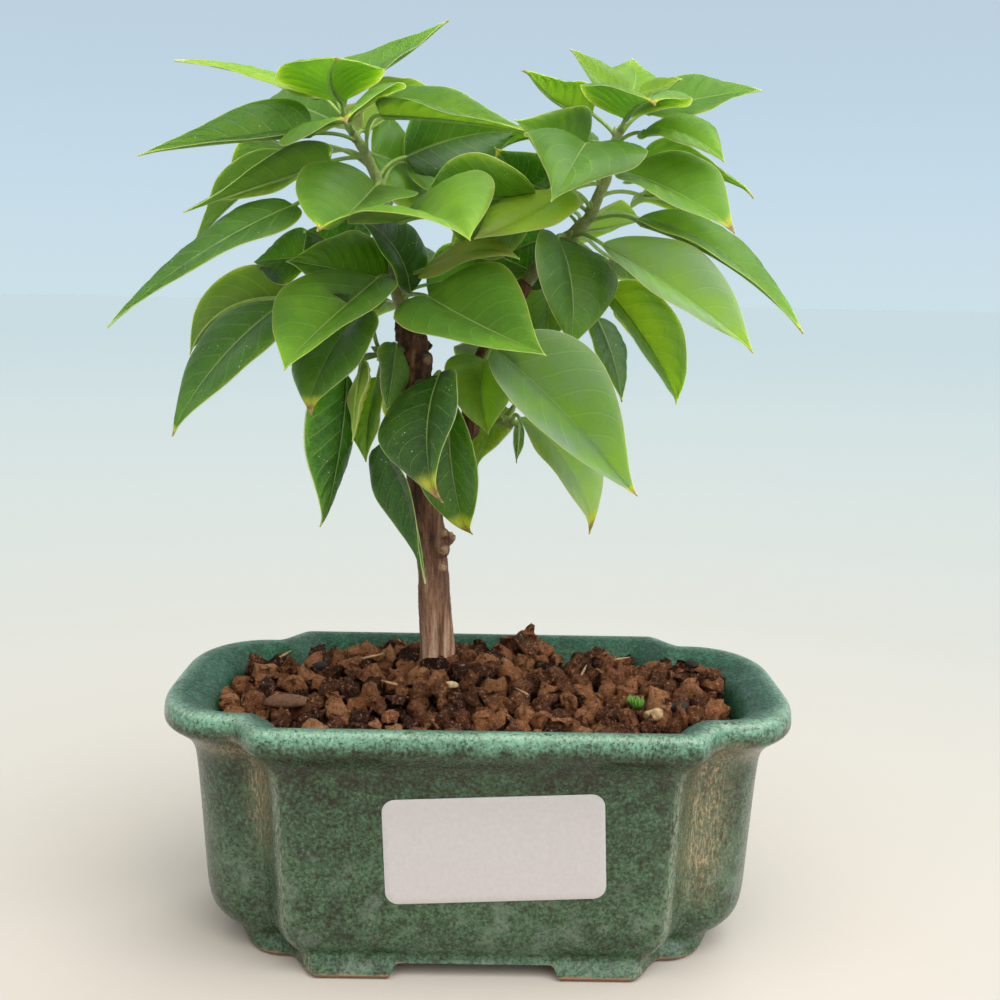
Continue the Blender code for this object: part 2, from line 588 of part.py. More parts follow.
def leafy_stem(name, line, radii, leaves, shade):
    """A stem with its leaves, fused into one solid."""
    stem = make_object(name, *tube(line, radii, 6), shade)
    parts = []
    for number, (at, base, tip, width, facing, bow, fold) in enumerate(leaves):
        parts.append(leaf(point_along(line, at), base, tip, width, facing, bow, fold, 1.7 * number))
    return keep_main_skin(combine(stem, parts, solver="MANIFOLD"))


def seated(line, seat):
    """A stem's line, begun a small gap beyond the cut end of the wood that carries it."""
    seat = np.array(seat, float)
    toward = np.array(line[0], float) - seat
    toward /= np.linalg.norm(toward)
    return [tuple(seat + toward * SEAT_GAP)] + list(line)


def taper(first, last, count):
    """Radii that run evenly from the first to the last."""
    return list(np.linspace(first, last, count))


def build_foliage():
    """Two crown shoots and the low sprays on their spurs."""
    green = material("leaf_green", (0.09, 0.22, 0.04), 0.45)
    for name, line, seat, leaves in (
        ("shoot_left", LEFT_SHOOT_LINE, TRUNK_LINE[-1], LEFT_LEAVES),
        ("shoot_right", RIGHT_SHOOT_LINE, LIMB_LINE[-1], RIGHT_LEAVES),
    ):
        stem = seated(line, seat)
        leafy_stem(name, stem, taper(2.1, 1.3, len(stem)), leaves, green)
    wood = {"trunk": (TRUNK_LINE, TRUNK_RADII), "limb": (LIMB_LINE, LIMB_RADII)}
    for name, (carrier, at, direction, length, leaves) in SPURS.items():
        line, radii = wood[carrier]
        middle = point_along(line, at)
        marks = np.cumsum([0] + [math.dist(a, b) for a, b in zip(line, line[1:])])
        radius = float(np.interp(at * marks[-1], marks, radii))
        grain = point_along(line, min(at + 0.03, 1)) - point_along(line, at - 0.03)
        grain /= np.linalg.norm(grain)
        direction = np.array(direction, float)
        direction -= grain * (direction @ grain)
        direction /= np.linalg.norm(direction)
        start = middle + direction * (radius + SEAT_GAP)
        leafy_stem(name, [start, start + direction * length], (1.5, 1.2), leaves, green)


def build_label():
    """Paper label: a thin plate with rounded corners, a little askew on the pot's front."""
    half_w, half_h = LABEL_WIDTH / 2 - LABEL_CORNER, LABEL_HEIGHT / 2 - LABEL_CORNER
    outline = []
    for corner, (sx, sz) in enumerate(((1, 1), (-1, 1), (-1, -1), (1, -1))):
        for step in range(4):
            turn = math.pi / 2 * (corner + step / 3)
            u = sx * half_w + LABEL_CORNER * math.cos(turn)
            v = sz * half_h + LABEL_CORNER * math.sin(turn)
            outline.append((
                LABEL_CENTRE[0] + u * math.cos(LABEL_TILT) - v * math.sin(LABEL_TILT),
                LABEL_CENTRE[1] + u * math.sin(LABEL_TILT) + v * math.cos(LABEL_TILT),
            ))
    # The pot's front leans back a little as it goes down; the label lies along it.
    low, high = OUTER_LEVELS[7], OUTER_LEVELS[8]
    rings = []
    for offset in (GAP, GAP + LABEL_THICKNESS):
        ring = []
        for x, z in outline:
            share = (z - low[0]) / (high[0] - low[0])
            wall = -(LIP_HALF_DEPTH - low[2] - share * (high[2] - low[2]))
            ring.append((x, wall - offset, z))
        rings.append(ring)
    return make_object("blank_label", *loft(rings), material("white_paper", (0.82, 0.80, 0.78), 0.5))


build_pot()
build_screen("drain_screen_left", -DRAIN_X)
build_screen("drain_screen_right", DRAIN_X)
build_soil()
build_trunk()
build_foliage()
build_label()
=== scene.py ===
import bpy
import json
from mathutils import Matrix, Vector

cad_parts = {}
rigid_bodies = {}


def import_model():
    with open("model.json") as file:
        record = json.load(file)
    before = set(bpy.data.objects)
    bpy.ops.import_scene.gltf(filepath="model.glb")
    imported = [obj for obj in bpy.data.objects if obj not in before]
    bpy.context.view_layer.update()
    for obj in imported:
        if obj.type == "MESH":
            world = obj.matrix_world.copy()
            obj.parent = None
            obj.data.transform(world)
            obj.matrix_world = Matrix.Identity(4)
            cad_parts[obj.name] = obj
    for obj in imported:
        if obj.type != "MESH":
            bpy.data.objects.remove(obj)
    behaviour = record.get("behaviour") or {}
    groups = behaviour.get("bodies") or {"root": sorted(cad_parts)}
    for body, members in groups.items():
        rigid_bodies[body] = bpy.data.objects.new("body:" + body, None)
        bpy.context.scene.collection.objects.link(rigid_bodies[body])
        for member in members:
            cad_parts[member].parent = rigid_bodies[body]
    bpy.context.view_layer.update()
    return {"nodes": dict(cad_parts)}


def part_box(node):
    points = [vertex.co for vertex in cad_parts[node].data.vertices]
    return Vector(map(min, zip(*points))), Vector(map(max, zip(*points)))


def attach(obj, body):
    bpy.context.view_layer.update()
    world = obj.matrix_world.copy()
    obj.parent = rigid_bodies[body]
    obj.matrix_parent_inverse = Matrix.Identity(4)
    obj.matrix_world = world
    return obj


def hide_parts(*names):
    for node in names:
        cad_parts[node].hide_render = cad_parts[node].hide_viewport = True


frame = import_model()

import json
import math

import bmesh
import bpy
import numpy as np
from mathutils import Matrix, Vector, noise

# Where things are: lengths are in millimetres from the point on the ground under the pot's middle, and
# placed() takes them to the frame, in metres.
MM = 0.001
pot_low, pot_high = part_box("pot")
POT_MIDDLE = np.array([(pot_low.x + pot_high.x) / 2, (pot_low.y + pot_high.y) / 2, 0.0]) / MM


def placed(points):
    """Points in millimetres from under the pot's middle, as metres in the frame."""
    return (np.asarray(points, float) + POT_MIDDLE) * MM


# Camera: it stands in front of the pot, a little above its lip, and looks slightly down.
CAMERA_PLACE = (0.0, -362.0, 155.7)
CAMERA_PITCH = 0.137
CAMERA_ROLL = 0.019
CAMERA_YAW = 0.012
LENS = 53.42
level = Vector((math.cos(CAMERA_YAW), -math.sin(CAMERA_YAW), 0))
ahead = Vector((
    math.sin(CAMERA_YAW) * math.cos(CAMERA_PITCH),
    math.cos(CAMERA_YAW) * math.cos(CAMERA_PITCH),
    -math.sin(CAMERA_PITCH),
))
above = level.cross(ahead)
across = math.cos(CAMERA_ROLL) * level + math.sin(CAMERA_ROLL) * above
upward = -math.sin(CAMERA_ROLL) * level + math.cos(CAMERA_ROLL) * above
lens = bpy.data.cameras.new("camera")
lens.lens = LENS
lens.sensor_width = 36.0
lens.clip_start = 0.01
camera = bpy.data.objects.new("camera", lens)
turned = Matrix((across, upward, -ahead)).transposed().to_4x4()
camera.matrix_world = Matrix.Translation(placed(CAMERA_PLACE)) @ turned
bpy.context.scene.collection.objects.link(camera)
bpy.context.scene.camera = camera
bpy.context.scene.view_settings.view_transform = "Standard"


# Studio: a pale matt floor that fades into a pale bluish surround, and three far, broad, soft lamps. Only
# the window to the right is seen in glossy surfaces.
def node(tree, kind, inputs=None, **settings):
    """Add a node: settings are its properties, inputs the values of its sockets or what feeds them."""
    made = tree.nodes.new(kind)
    for key, value in settings.items():
        setattr(made, key, value)
    for key, value in (inputs or {}).items():
        if isinstance(value, bpy.types.NodeSocket):
            tree.links.new(value, made.inputs[key])
        else:
            made.inputs[key].default_value = value
    return made


def maths(tree, operation, a, b=0.0, c=0.0):
    """The result of a Math node."""
    return node(tree, "ShaderNodeMath", {0: a, 1: b, 2: c}, operation=operation).outputs[0]


def times(tree, a, b):
    """A product of two values."""
    return maths(tree, "MULTIPLY", a, b)


def rest_of(tree, value):
    """What a share leaves of 1."""
    return maths(tree, "SUBTRACT", 1.0, value)


def ease(tree, value, low, high, out_low=0.0, out_high=1.0):
    """A value taken smoothly from out_low at low to out_high at high."""
    inputs = {"Value": value, "From Min": low, "From Max": high, "To Min": out_low, "To Max": out_high}
    return node(tree, "ShaderNodeMapRange", inputs, interpolation_type="SMOOTHSTEP").outputs[0]


def tint(tree, share, a, b):
    """Colour a turned towards colour b by a share."""
    inputs = {0: share, 6: a if isinstance(a, bpy.types.NodeSocket) else (*a, 1.0),
              7: b if isinstance(b, bpy.types.NodeSocket) else (*b, 1.0)}
    return node(tree, "ShaderNodeMix", inputs, data_type="RGBA").outputs[2]


def ramp(tree, value, stops):
    """A colour read from a ramp of (place, colour) stops."""
    made = node(tree, "ShaderNodeValToRGB", {0: value})
    elements = made.color_ramp.elements
    while len(elements) < len(stops):
        elements.new(0.5)
    for element, (place, colour) in zip(elements, stops):
        element.position = place
        element.color = (*colour, 1.0)
    return made.outputs[0]


def grain(tree, coords, scale, detail=4.0, roughness=0.6, stretch=None):
    """Noise between 0 and 1 on some coordinates."""
    if stretch:
        coords = node(tree, "ShaderNodeMapping", {"Vector": coords, "Scale": stretch}).outputs[0]
    inputs = {"Vector": coords, "Scale": scale, "Detail": detail, "Roughness": roughness}
    return node(tree, "ShaderNodeTexNoise", inputs).outputs[0]


def new_material(name):
    """A material, its node tree, its Principled shader and its Object coordinates."""
    made = bpy.data.materials.new(name)
    made.use_nodes = True
    tree = made.node_tree
    coords = node(tree, "ShaderNodeTexCoord").outputs["Object"]
    return made, tree, tree.nodes["Principled BSDF"], coords


def attribute(tree, name):
    """A value that is stored on the mesh."""
    return node(tree, "ShaderNodeAttribute", attribute_name=name).outputs["Fac"]


def paint(tree, shader, colour, roughness):
    """Give a shader its colour and one roughness all over."""
    tree.links.new(colour, shader.inputs["Base Color"])
    shader.inputs["Roughness"].default_value = roughness


def bump(tree, shader, height, distance, strength=1.0):
    """Feed a height in 0..1, over a depth in metres, to a shader's normal."""
    made = node(tree, "ShaderNodeBump", {"Height": height, "Distance": distance, "Strength": strength})
    tree.links.new(made.outputs[0], shader.inputs["Normal"])


FLOOR_SIDE = 60.0  # metres
FLOOR_FADE = 0.6  # metres from the plant at which the floor's ramp is halfway
FLOOR_STOPS = (
    (0.15, (0.50, 0.455, 0.400)), (0.40, (0.405, 0.405, 0.375)), (0.562, (0.375, 0.400, 0.385)),
    (0.727, (0.345, 0.388, 0.388)), (0.90, (0.308, 0.366, 0.386)),
)
floor_mesh = bpy.data.meshes.new("floor")
half = FLOOR_SIDE / 2
corners = [(-half, -half, 0), (half, -half, 0), (half, half, 0), (-half, half, 0)]
floor_mesh.from_pydata(corners, [], [(0, 1, 2, 3)])
floor = bpy.data.objects.new("floor", floor_mesh)
bpy.context.scene.collection.objects.link(floor)
pale, tree, shader, coords = new_material("pale_floor")
away = node(tree, "ShaderNodeVectorMath", {0: coords}, operation="LENGTH").outputs["Value"]
far = maths(tree, "DIVIDE", away, maths(tree, "ADD", away, FLOOR_FADE))
paint(tree, shader, ramp(tree, far, FLOOR_STOPS), 0.8)
shader.inputs["Specular IOR Level"].default_value = 0.0
floor_mesh.materials.append(pale)

world = bpy.data.worlds.new("surround")
world.use_nodes = True
tree = world.node_tree
way = node(tree, "ShaderNodeTexCoord").outputs["Generated"]
height = node(tree, "ShaderNodeSeparateXYZ", {0: way}).outputs["Z"]
backdrop = ramp(tree, height, (
    (0.0, (0.605, 0.746, 0.809)), (0.065, (0.562, 0.712, 0.812)),
    (0.13, (0.525, 0.665, 0.775)), (0.20, (0.50, 0.62, 0.72)),
))
seen = node(tree, "ShaderNodeBackground", {"Color": backdrop, "Strength": 1.0})
lit = node(tree, "ShaderNodeBackground", {"Color": (0.84, 0.93, 1.0, 1.0), "Strength": 0.55})
by_eye = node(tree, "ShaderNodeLightPath").outputs["Is Camera Ray"]
both = node(tree, "ShaderNodeMixShader", {0: by_eye, 1: lit.outputs[0], 2: seen.outputs[0]})
tree.links.new(both.outputs[0], tree.nodes["World Output"].inputs["Surface"])
bpy.context.scene.world = world

LAMP_AIM = (0, 0, 110)
for name, place, spread, power, colour, glossy in (
    ("front_lamp", (0, -230, 460), 1.5, 2.7, (1.0, 0.95, 0.88), False),
    ("side_window", (600, -350, 800), 1.4, 2.6, (0.93, 0.97, 1.0), True),
    ("back_lamp", (330, 820, 560), 0.7, 1.5, (0.88, 0.96, 1.0), False),
):
    lamp = bpy.data.lights.new(name, "SUN")
    lamp.angle = spread
    lamp.energy = power
    lamp.color = colour
    holder = bpy.data.objects.new(name, lamp)
    holder.location = placed(place)
    holder.visible_glossy = glossy
    direction = Vector(placed(LAMP_AIM)) - Vector(placed(place))
    holder.rotation_euler = direction.to_track_quat("-Z", "Y").to_euler()
    bpy.context.scene.collection.objects.link(holder)


# Pot: slip-cast fired clay with a stepped corner at each end of its front and back, a rolled-out lip and
# four feet left by gaps in its foot ring. A mottled green glaze covers it, thin and rusty on its edges.
LIP_HALF_WIDTH = 75.3
LIP_HALF_DEPTH = 50.0
FRONT_HALF_RUN = 48.4
STEP_RUN = 8.0
STEP_BACK = 11.2
CORNER_RX = 18.0
CORNER_RY = 28.5
# The wall's section, upward outside and downward inside: height, inset at the ends, inset at the front.
OUTER_LEVELS = (
    (0.0, 19.3, 9.0), (2.6, 17.8, 10.4), (4.2, 16.8, 11.8), (5.2, 15.0, 11.8), (6.8, 12.6, 10.8),
    (9.5, 10.3, 9.6), (14.0, 9.4, 8.8), (22.0, 8.9, 8.4), (46.0, 7.2, 7.0), (49.5, 6.2, 6.2),
    (52.0, 4.5, 4.5), (53.8, 2.4, 2.4), (55.2, 0.6, 0.6), (56.4, 0.0, 0.0), (60.3, 0.4, 0.4),
    (61.2, 2.4, 2.4),
)
INNER_LEVELS = (
    (60.4, 6.5, 6.0), (57.5, 10.5, 9.5), (54.0, 12.6, 11.6), (48.0, 13.4, 12.6), (20.0, 15.5, 14.5),
    (12.0, 18.5, 17.5), (9.5, 22.0, 21.0),
)
FOOT_INNER_LEVELS = ((3.8, 28.0, 18.0), (0.0, 26.5, 16.5))
FOOT_GAP_HEIGHT = 3.4
FOOT_GAP_FRONT = 18.0  # half its width
FOOT_GAP_END = 9.0
DRAIN_X = 28.0
DRAIN_RADIUS = 6.0


def pot_outline(end_inset, front_inset):
    """The pot's plan at an inset from its lip: quarters of an end, a round corner, a step and a front."""
    half_width = LIP_HALF_WIDTH - end_inset
    half_depth = LIP_HALF_DEPTH - front_inset
    run = FRONT_HALF_RUN - 0.65 * end_inset
    rx = CORNER_RX - 0.35 * end_inset
    ry = min(CORNER_RY - 0.75 * front_inset, half_depth - STEP_BACK - 4.0)
    corner_y = half_depth - STEP_BACK - ry
    turn = np.linspace(0, math.pi / 2, 21)
    step = np.linspace(1, 0, 17)
    xs = np.concatenate([
        np.full(4, half_width), half_width - rx + rx * np.cos(turn).clip(0) ** 0.9,
        run + STEP_RUN * step, np.linspace(run, 0, 13)[1:],
    ])
    ys = np.concatenate([
        np.linspace(0, corner_y, 5)[:-1], corner_y + ry * np.sin(turn) ** 0.9,
        half_depth - STEP_BACK * step ** 2 * (3 - 2 * step), np.full(12, half_depth),
    ])
    top = np.column_stack([np.concatenate([xs, -xs[-2::-1]]), np.concatenate([ys, ys[-2::-1]])])
    return np.vstack([top, (top * (1, -1))[-2:0:-1]])


def plan_at(height, end_inset, front_inset):
    """The pot's plan as a level ring at a height."""
    plan = pot_outline(end_inset, front_inset)
    return np.column_stack([plan, np.full(len(plan), height)])


def rounded(levels, rounds):
    """Levels with their corners cut off again and again, which rounds them; the ends stay."""
    levels = np.array(levels, float)
    for _ in range(rounds):
        cut = np.empty((2 * len(levels) - 2, levels.shape[1]))
        cut[0::2] = 0.75 * levels[:-1] + 0.25 * levels[1:]
        cut[1::2] = 0.25 * levels[:-1] + 0.75 * levels[1:]
        levels = np.vstack([levels[:1], cut[1:-1], levels[-1:]])
    return levels


def loft(rings):
    """Points and faces of a closed skin through rings that have equal numbers of points."""
    count = len(rings[0])
    faces = []
    for ring in range(len(rings) - 1):
        for i in range(count):
            a, b = ring * count + i, ring * count + (i + 1) % count
            faces.append((a, b, b + count, a + count))
    faces.append(tuple(range(count))[::-1])
    faces.append(tuple(range((len(rings) - 1) * count, len(rings) * count)))
    return np.vstack(rings), faces


def add_mesh(name, points, faces, outward=True):
    """An object from points in millimetres and faces, shaded smooth, with its faces turned outward."""
    mesh = bpy.data.meshes.new(name)
    mesh.from_pydata(placed(points).tolist(), [], faces)
    if outward:
        work = bmesh.new()
        work.from_mesh(mesh)
        bmesh.ops.recalc_face_normals(work, faces=work.faces)
        work.to_mesh(mesh)
        work.free()
    mesh.shade_smooth()
    made = bpy.data.objects.new(name, mesh)
    bpy.context.scene.collection.objects.link(made)
    return made


def plain(thing):
    """Apply an object's modifiers: its mesh becomes what they make of it."""
    view = bpy.context.evaluated_depsgraph_get()
    mesh = bpy.data.meshes.new_from_object(thing.evaluated_get(view))
    thing.modifiers.clear()
    thing.data = mesh
    return thing


def store(mesh, name, values):
    """Keep a value for each point of a mesh."""
    mesh.attributes.new(name, "FLOAT", "POINT").data.foreach_set("value", np.asarray(values, np.float32))


def points_of(mesh):
    """A mesh's points in millimetres from under the pot's middle, and their normals."""
    points = np.empty(len(mesh.vertices) * 3, np.float32)
    normals = np.empty(len(mesh.vertices) * 3, np.float32)
    mesh.vertices.foreach_get("co", points)
    mesh.vertex_normals.foreach_get("vector", normals)
    return points.reshape(-1, 3) / MM - POT_MIDDLE, normals.reshape(-1, 3)


def hill(value, middle, width):
    """A smooth hill: 1 where a value is at the middle, next to nothing two widths away."""
    return np.exp(-((value - middle) / width) ** 2)


skin = rounded(FOOT_INNER_LEVELS + OUTER_LEVELS + INNER_LEVELS, 2)
pot = add_mesh("glazed_pot", *loft([plan_at(*level) for level in skin]))
cutters = bpy.data.collections.new("pot_cutters")
bpy.context.scene.collection.children.link(cutters)


def add_cutter(name, rings):
    """A solid that is cut out of the pot."""
    cutter = add_mesh(name, *loft(rings))
    bpy.context.scene.collection.objects.unlink(cutter)
    cutters.objects.link(cutter)


for along_x, half_gap, reach in ((True, FOOT_GAP_FRONT, LIP_HALF_DEPTH), (False, FOOT_GAP_END, LIP_HALF_WIDTH)):
    wide = half_gap + 2.4
    profile = (
        (-wide, -1), (wide, -1), (half_gap + 0.3, FOOT_GAP_HEIGHT - 0.5), (half_gap - 0.5, FOOT_GAP_HEIGHT),
        (0.5 - half_gap, FOOT_GAP_HEIGHT), (-half_gap - 0.3, FOOT_GAP_HEIGHT - 0.5),
    )
    add_cutter("foot_gap", [
        np.array([(p, s, z) if along_x else (s, p, z) for p, z in profile]) for s in (-reach, reach)
    ])
for x in (-DRAIN_X, DRAIN_X):
    turn = np.linspace(0, 2 * math.pi, 40, endpoint=False)
    circle = np.column_stack([x + DRAIN_RADIUS * np.cos(turn), DRAIN_RADIUS * np.sin(turn), 0 * turn])
    add_cutter("drain", [circle, circle + (0, 0, 15)])
cut = pot.modifiers.new("cut", "BOOLEAN")
cut.operation = "DIFFERENCE"
cut.solver = "MANIFOLD"
cut.operand_type = "COLLECTION"
cut.collection = cutters
plain(pot)
for cutter in list(cutters.objects):
    bpy.data.objects.remove(cutter)
bpy.data.collections.remove(cutters)
pot.data.shade_smooth()
pot.data.set_sharp_from_angle(angle=math.radians(50))

# Where the glaze breaks: along the front panel's upright edges, and rusty in the corners beside them and
# under the lip of the ends. A pale line along the lip's top edge is partly thin glaze and partly a painted
# highlight.
spots, normals = points_of(pot.data)
heights = [level[0] for level in OUTER_LEVELS]
end_inset = np.interp(spots[:, 2], heights, [level[1] for level in OUTER_LEVELS])
front_inset = np.interp(spots[:, 2], heights, [level[2] for level in OUTER_LEVELS])
beside = np.abs(spots[:, 0]) - (FRONT_HALF_RUN - 0.65 * end_inset)
behind = LIP_HALF_DEPTH - front_inset - np.abs(spots[:, 1])
height = spots[:, 2]
outer = (spots[:, :2] * normals[:, :2]).sum(1) / np.linalg.norm(spots[:, :2], axis=1).clip(1)
on_wall = (outer > 0.1) * np.clip((57.5 - height) / 3, 0, 1)
edge = 0.7 * hill(beside, 1.6, 1.2) * (behind < 3.5) * on_wall
# The lip's top edge joins the mask: partly thin glaze, partly a painted highlight.
edge = np.maximum(edge, hill(height, 60.4, 0.3) * (outer > 0.25))
right = spots[:, 0] > 0
fade = np.where(right, np.clip((height - 12) / 14, 0, 1), np.clip((height - 24) / 16, 0, 1))
in_corner = hill(beside, np.where(right, 9.5, 6.0), np.where(right, 5.0, 3.0)) * (behind > 1.5) * (behind < 15)
under_lip = hill(height, 52.0, 2.4) * np.clip((np.abs(spots[:, 0]) - 50) / 4, 0, 1) * (outer > 0.1)
under_lip *= np.clip((np.abs(spots[:, 1]) - 14) / 10, 0, 1)
rust = np.maximum(in_corner * on_wall * fade, 0.8 * under_lip)
store(pot.data, "edge", edge)
store(pot.data, "rust", rust)
store(pot.data, "inside", np.clip(0.5 - outer * 2.0, 0, 1) * (height > 9))
store(pot.data, "clay", (normals[:, 2] < -0.6) & (height < 4.6))


def node_group(kind, name, inputs, outputs):
    """A node group with named sockets, and its input and output nodes."""
    made = bpy.data.node_groups.new(name, kind)
    for direction, sockets in (("INPUT", inputs), ("OUTPUT", outputs)):
        for label, socket in sockets.items():
            made.interface.new_socket(label, in_out=direction, socket_type="NodeSocket" + socket)
    return made, node(made, "NodeGroupInput"), node(made, "NodeGroupOutput")


# Mottle: the same three sizes of noise run together, for any fired, weathered or grown surface.
mottle, inlet, outlet = node_group(
    "ShaderNodeTree", "mottle", {"Coords": "Vector", "Scale": "Float"}, {"Value": "Float"}
)
parts = []
for ratio, share in ((1.0, 0.45), (3.7, 0.35), (11.0, 0.20)):
    scale = times(mottle, inlet.outputs["Scale"], ratio)
    inputs = {"Vector": inlet.outputs["Coords"], "Scale": scale, "Detail": 3.0, "Roughness": 0.6}
    parts.append(times(mottle, node(mottle, "ShaderNodeTexNoise", inputs).outputs[0], share))
mottle.links.new(maths(mottle, "ADD", maths(mottle, "ADD", parts[0], parts[1]), parts[2]), outlet.inputs[0])


def mottled(tree, coords, scale):
    """The mottle's value on some coordinates."""
    made = node(tree, "ShaderNodeGroup", node_tree=mottle)
    tree.links.new(coords, made.inputs["Coords"])
    made.inputs["Scale"].default_value = scale
    return made.outputs[0]


glaze, tree, shader, coords = new_material("green_glaze")
cloud = mottled(tree, coords, 240.0)
fine = grain(tree, coords, 1250.0, 4.0, 0.65)
up = node(tree, "ShaderNodeSeparateXYZ", {0: coords}).outputs["Z"]
downward = ease(tree, up, 0.020, 0.056, 0.0, -0.045)
pool = maths(tree, "MULTIPLY_ADD", grain(tree, coords, 55.0, 2.0), 0.10, downward)
mixed = maths(tree, "ADD", times(tree, cloud, 0.50), maths(tree, "MULTIPLY_ADD", fine, 0.50, pool))
wall = ramp(tree, mixed, (
    (0.435, (0.010, 0.009, 0.003)), (0.475, (0.022, 0.024, 0.009)), (0.515, (0.025, 0.050, 0.020)),
    (0.560, (0.036, 0.082, 0.038)), (0.625, (0.076, 0.126, 0.068)),
))
greyed = times(tree, ease(tree, grain(tree, coords, 150.0), 0.50, 0.66), ease(tree, up, 0.040, 0.018))
wall = tint(tree, times(tree, greyed, 0.40), wall, (0.150, 0.190, 0.140))
lip = ramp(tree, mixed, (
    (0.42, (0.040, 0.072, 0.040)), (0.47, (0.092, 0.184, 0.116)),
    (0.54, (0.135, 0.270, 0.180)), (0.62, (0.200, 0.350, 0.250)),
))
jade = ramp(tree, mixed, (
    (0.43, (0.006, 0.026, 0.010)), (0.51, (0.012, 0.062, 0.030)), (0.60, (0.034, 0.120, 0.068)),
))
inside = attribute(tree, "inside")
wobble = maths(tree, "MULTIPLY_ADD", cloud, 0.005, up)
colour = tint(tree, inside, wall, jade)
on_lip = times(tree, ease(tree, wobble, 0.0585, 0.0622), rest_of(tree, inside))
colour = tint(tree, on_lip, colour, lip)
speck = times(tree, ease(tree, grain(tree, coords, 1600.0, 2.0, 0.5), 0.60, 0.66), 0.75)
colour = tint(tree, speck, colour, (0.014, 0.016, 0.007))
streak = grain(tree, coords, 1900.0, 5.0, 0.75, stretch=(1.0, 1.0, 0.28))
rusty = times(tree, attribute(tree, "rust"), ease(tree, streak, 0.44, 0.66))
colour = tint(tree, times(tree, attribute(tree, "rust"), 0.22), colour, (0.30, 0.27, 0.17))
colour = tint(tree, times(tree, rusty, 0.80), colour, (0.50, 0.35, 0.20))
# Pale glaze breaks on the upright edges, and along the lip's top edge partly a painted highlight.
wear_and_highlight = times(tree, attribute(tree, "edge"), ease(tree, streak, 0.42, 0.60))
colour = tint(tree, times(tree, wear_and_highlight, 0.60), colour, (0.42, 0.46, 0.33))
foot_line = maths(tree, "MULTIPLY_ADD", grain(tree, coords, 260.0), 0.0012, up)
bare = maths(tree, "MAXIMUM", attribute(tree, "clay"), ease(tree, foot_line, 0.0020, 0.0013))
fired = tint(tree, mottled(tree, coords, 700.0), (0.16, 0.065, 0.030), (0.34, 0.17, 0.085))
tree.links.new(tint(tree, bare, colour, fired), shader.inputs["Base Color"])
sheen = maths(tree, "MULTIPLY_ADD", inside, 0.2, ease(tree, fine, 0.40, 0.62, 0.32, 0.22))
tree.links.new(maths(tree, "MULTIPLY_ADD", bare, 0.55, sheen), shader.inputs["Roughness"])
dimples = times(tree, grain(tree, coords, 90.0), 2.5)
bump(tree, shader, maths(tree, "ADD", times(tree, fine, 0.5), dimples), 0.0003, 0.6)
pot.data.materials.clear()
pot.data.materials.append(glaze)
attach(pot, "root")
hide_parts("pot")


# Drain screens: two squares of moulded black plastic mesh over the holes in the pot's floor. Their solids
# have the right shape, so they only get their material here.
screen_plastic, tree, shader, coords = new_material("black_screen_plastic")
dust = mottled(tree, coords, 800.0)
paint(tree, shader, tint(tree, dust, (0.012, 0.012, 0.012), (0.05, 0.048, 0.045)), 0.55)
bump(tree, shader, mottled(tree, coords, 1500.0), 0.0002)
for name in ("drain_screen_left", "drain_screen_right"):
    frame["nodes"][name].material_slots[0].material = screen_plastic


# Soil: porous red-brown clay granules, mostly 3 to 6 mm across, poured loose over a bed of the same, with
# finer crumbs between them; the crumbs and the bed are painted dark as shade in the gaps. The bed is
# mounded towards the trunk, and a few granules are piled up behind it.
SOIL_INSET = (13.6, 12.8)  # from the lip, at the ends and at the front and back
SOIL_EDGE_HEIGHT = 54.0
SOIL_MOUND = 6.5
SOIL_MOUND_REACH = (48.0, 32.0)
SOIL_PILE = (13.0, 29.0, 7.5, 7.5)  # x, y, rise, radius
SOIL_BANK = (58.0, 8.0, 3.5, 14.0, 26.0)  # x, y, rise, reach along x, reach along y
SOIL_RIPPLE = 1.3
TRUNK_FOOT = (-11.0, 18.0)
GRANULE_GAP = 4.9
CRUMB_GAP = 3.0


def bed_height(xy):
    """Height of the middles of the top granules: a low mound round the trunk and a small pile."""
    away = np.hypot(*((xy - TRUNK_FOOT) / SOIL_MOUND_REACH).T)
    x, y, rise, radius = SOIL_PILE
    pile = rise * np.clip(1 - np.hypot(xy[:, 0] - x, xy[:, 1] - y) / radius, 0, None)
    x, y, rise, wide, deep = SOIL_BANK
    bank = rise * hill(xy[:, 0], x, wide) * hill(xy[:, 1], y, deep)
    ripple = np.array([noise.noise(Vector((a / 9, b / 9, 3.1))) for a, b in xy])
    return SOIL_EDGE_HEIGHT + SOIL_MOUND * np.exp(-away ** 2) + pile + bank + SOIL_RIPPLE * ripple


def scaled(tree, vector, size):
    """A vector scaled by a value."""
    return node(tree, "ShaderNodeVectorMath", {0: vector, "Scale": size}, operation="SCALE").outputs[0]


rim = pot_outline(*SOIL_INSET)
shrink = np.linspace(1, 0.02, 30)
cover_rings = [np.column_stack([rim * s, bed_height(rim * s)]) for s in shrink]
cover = add_mesh("soil_cover", *loft(cover_rings), outward=False)
cover.data.materials.clear()

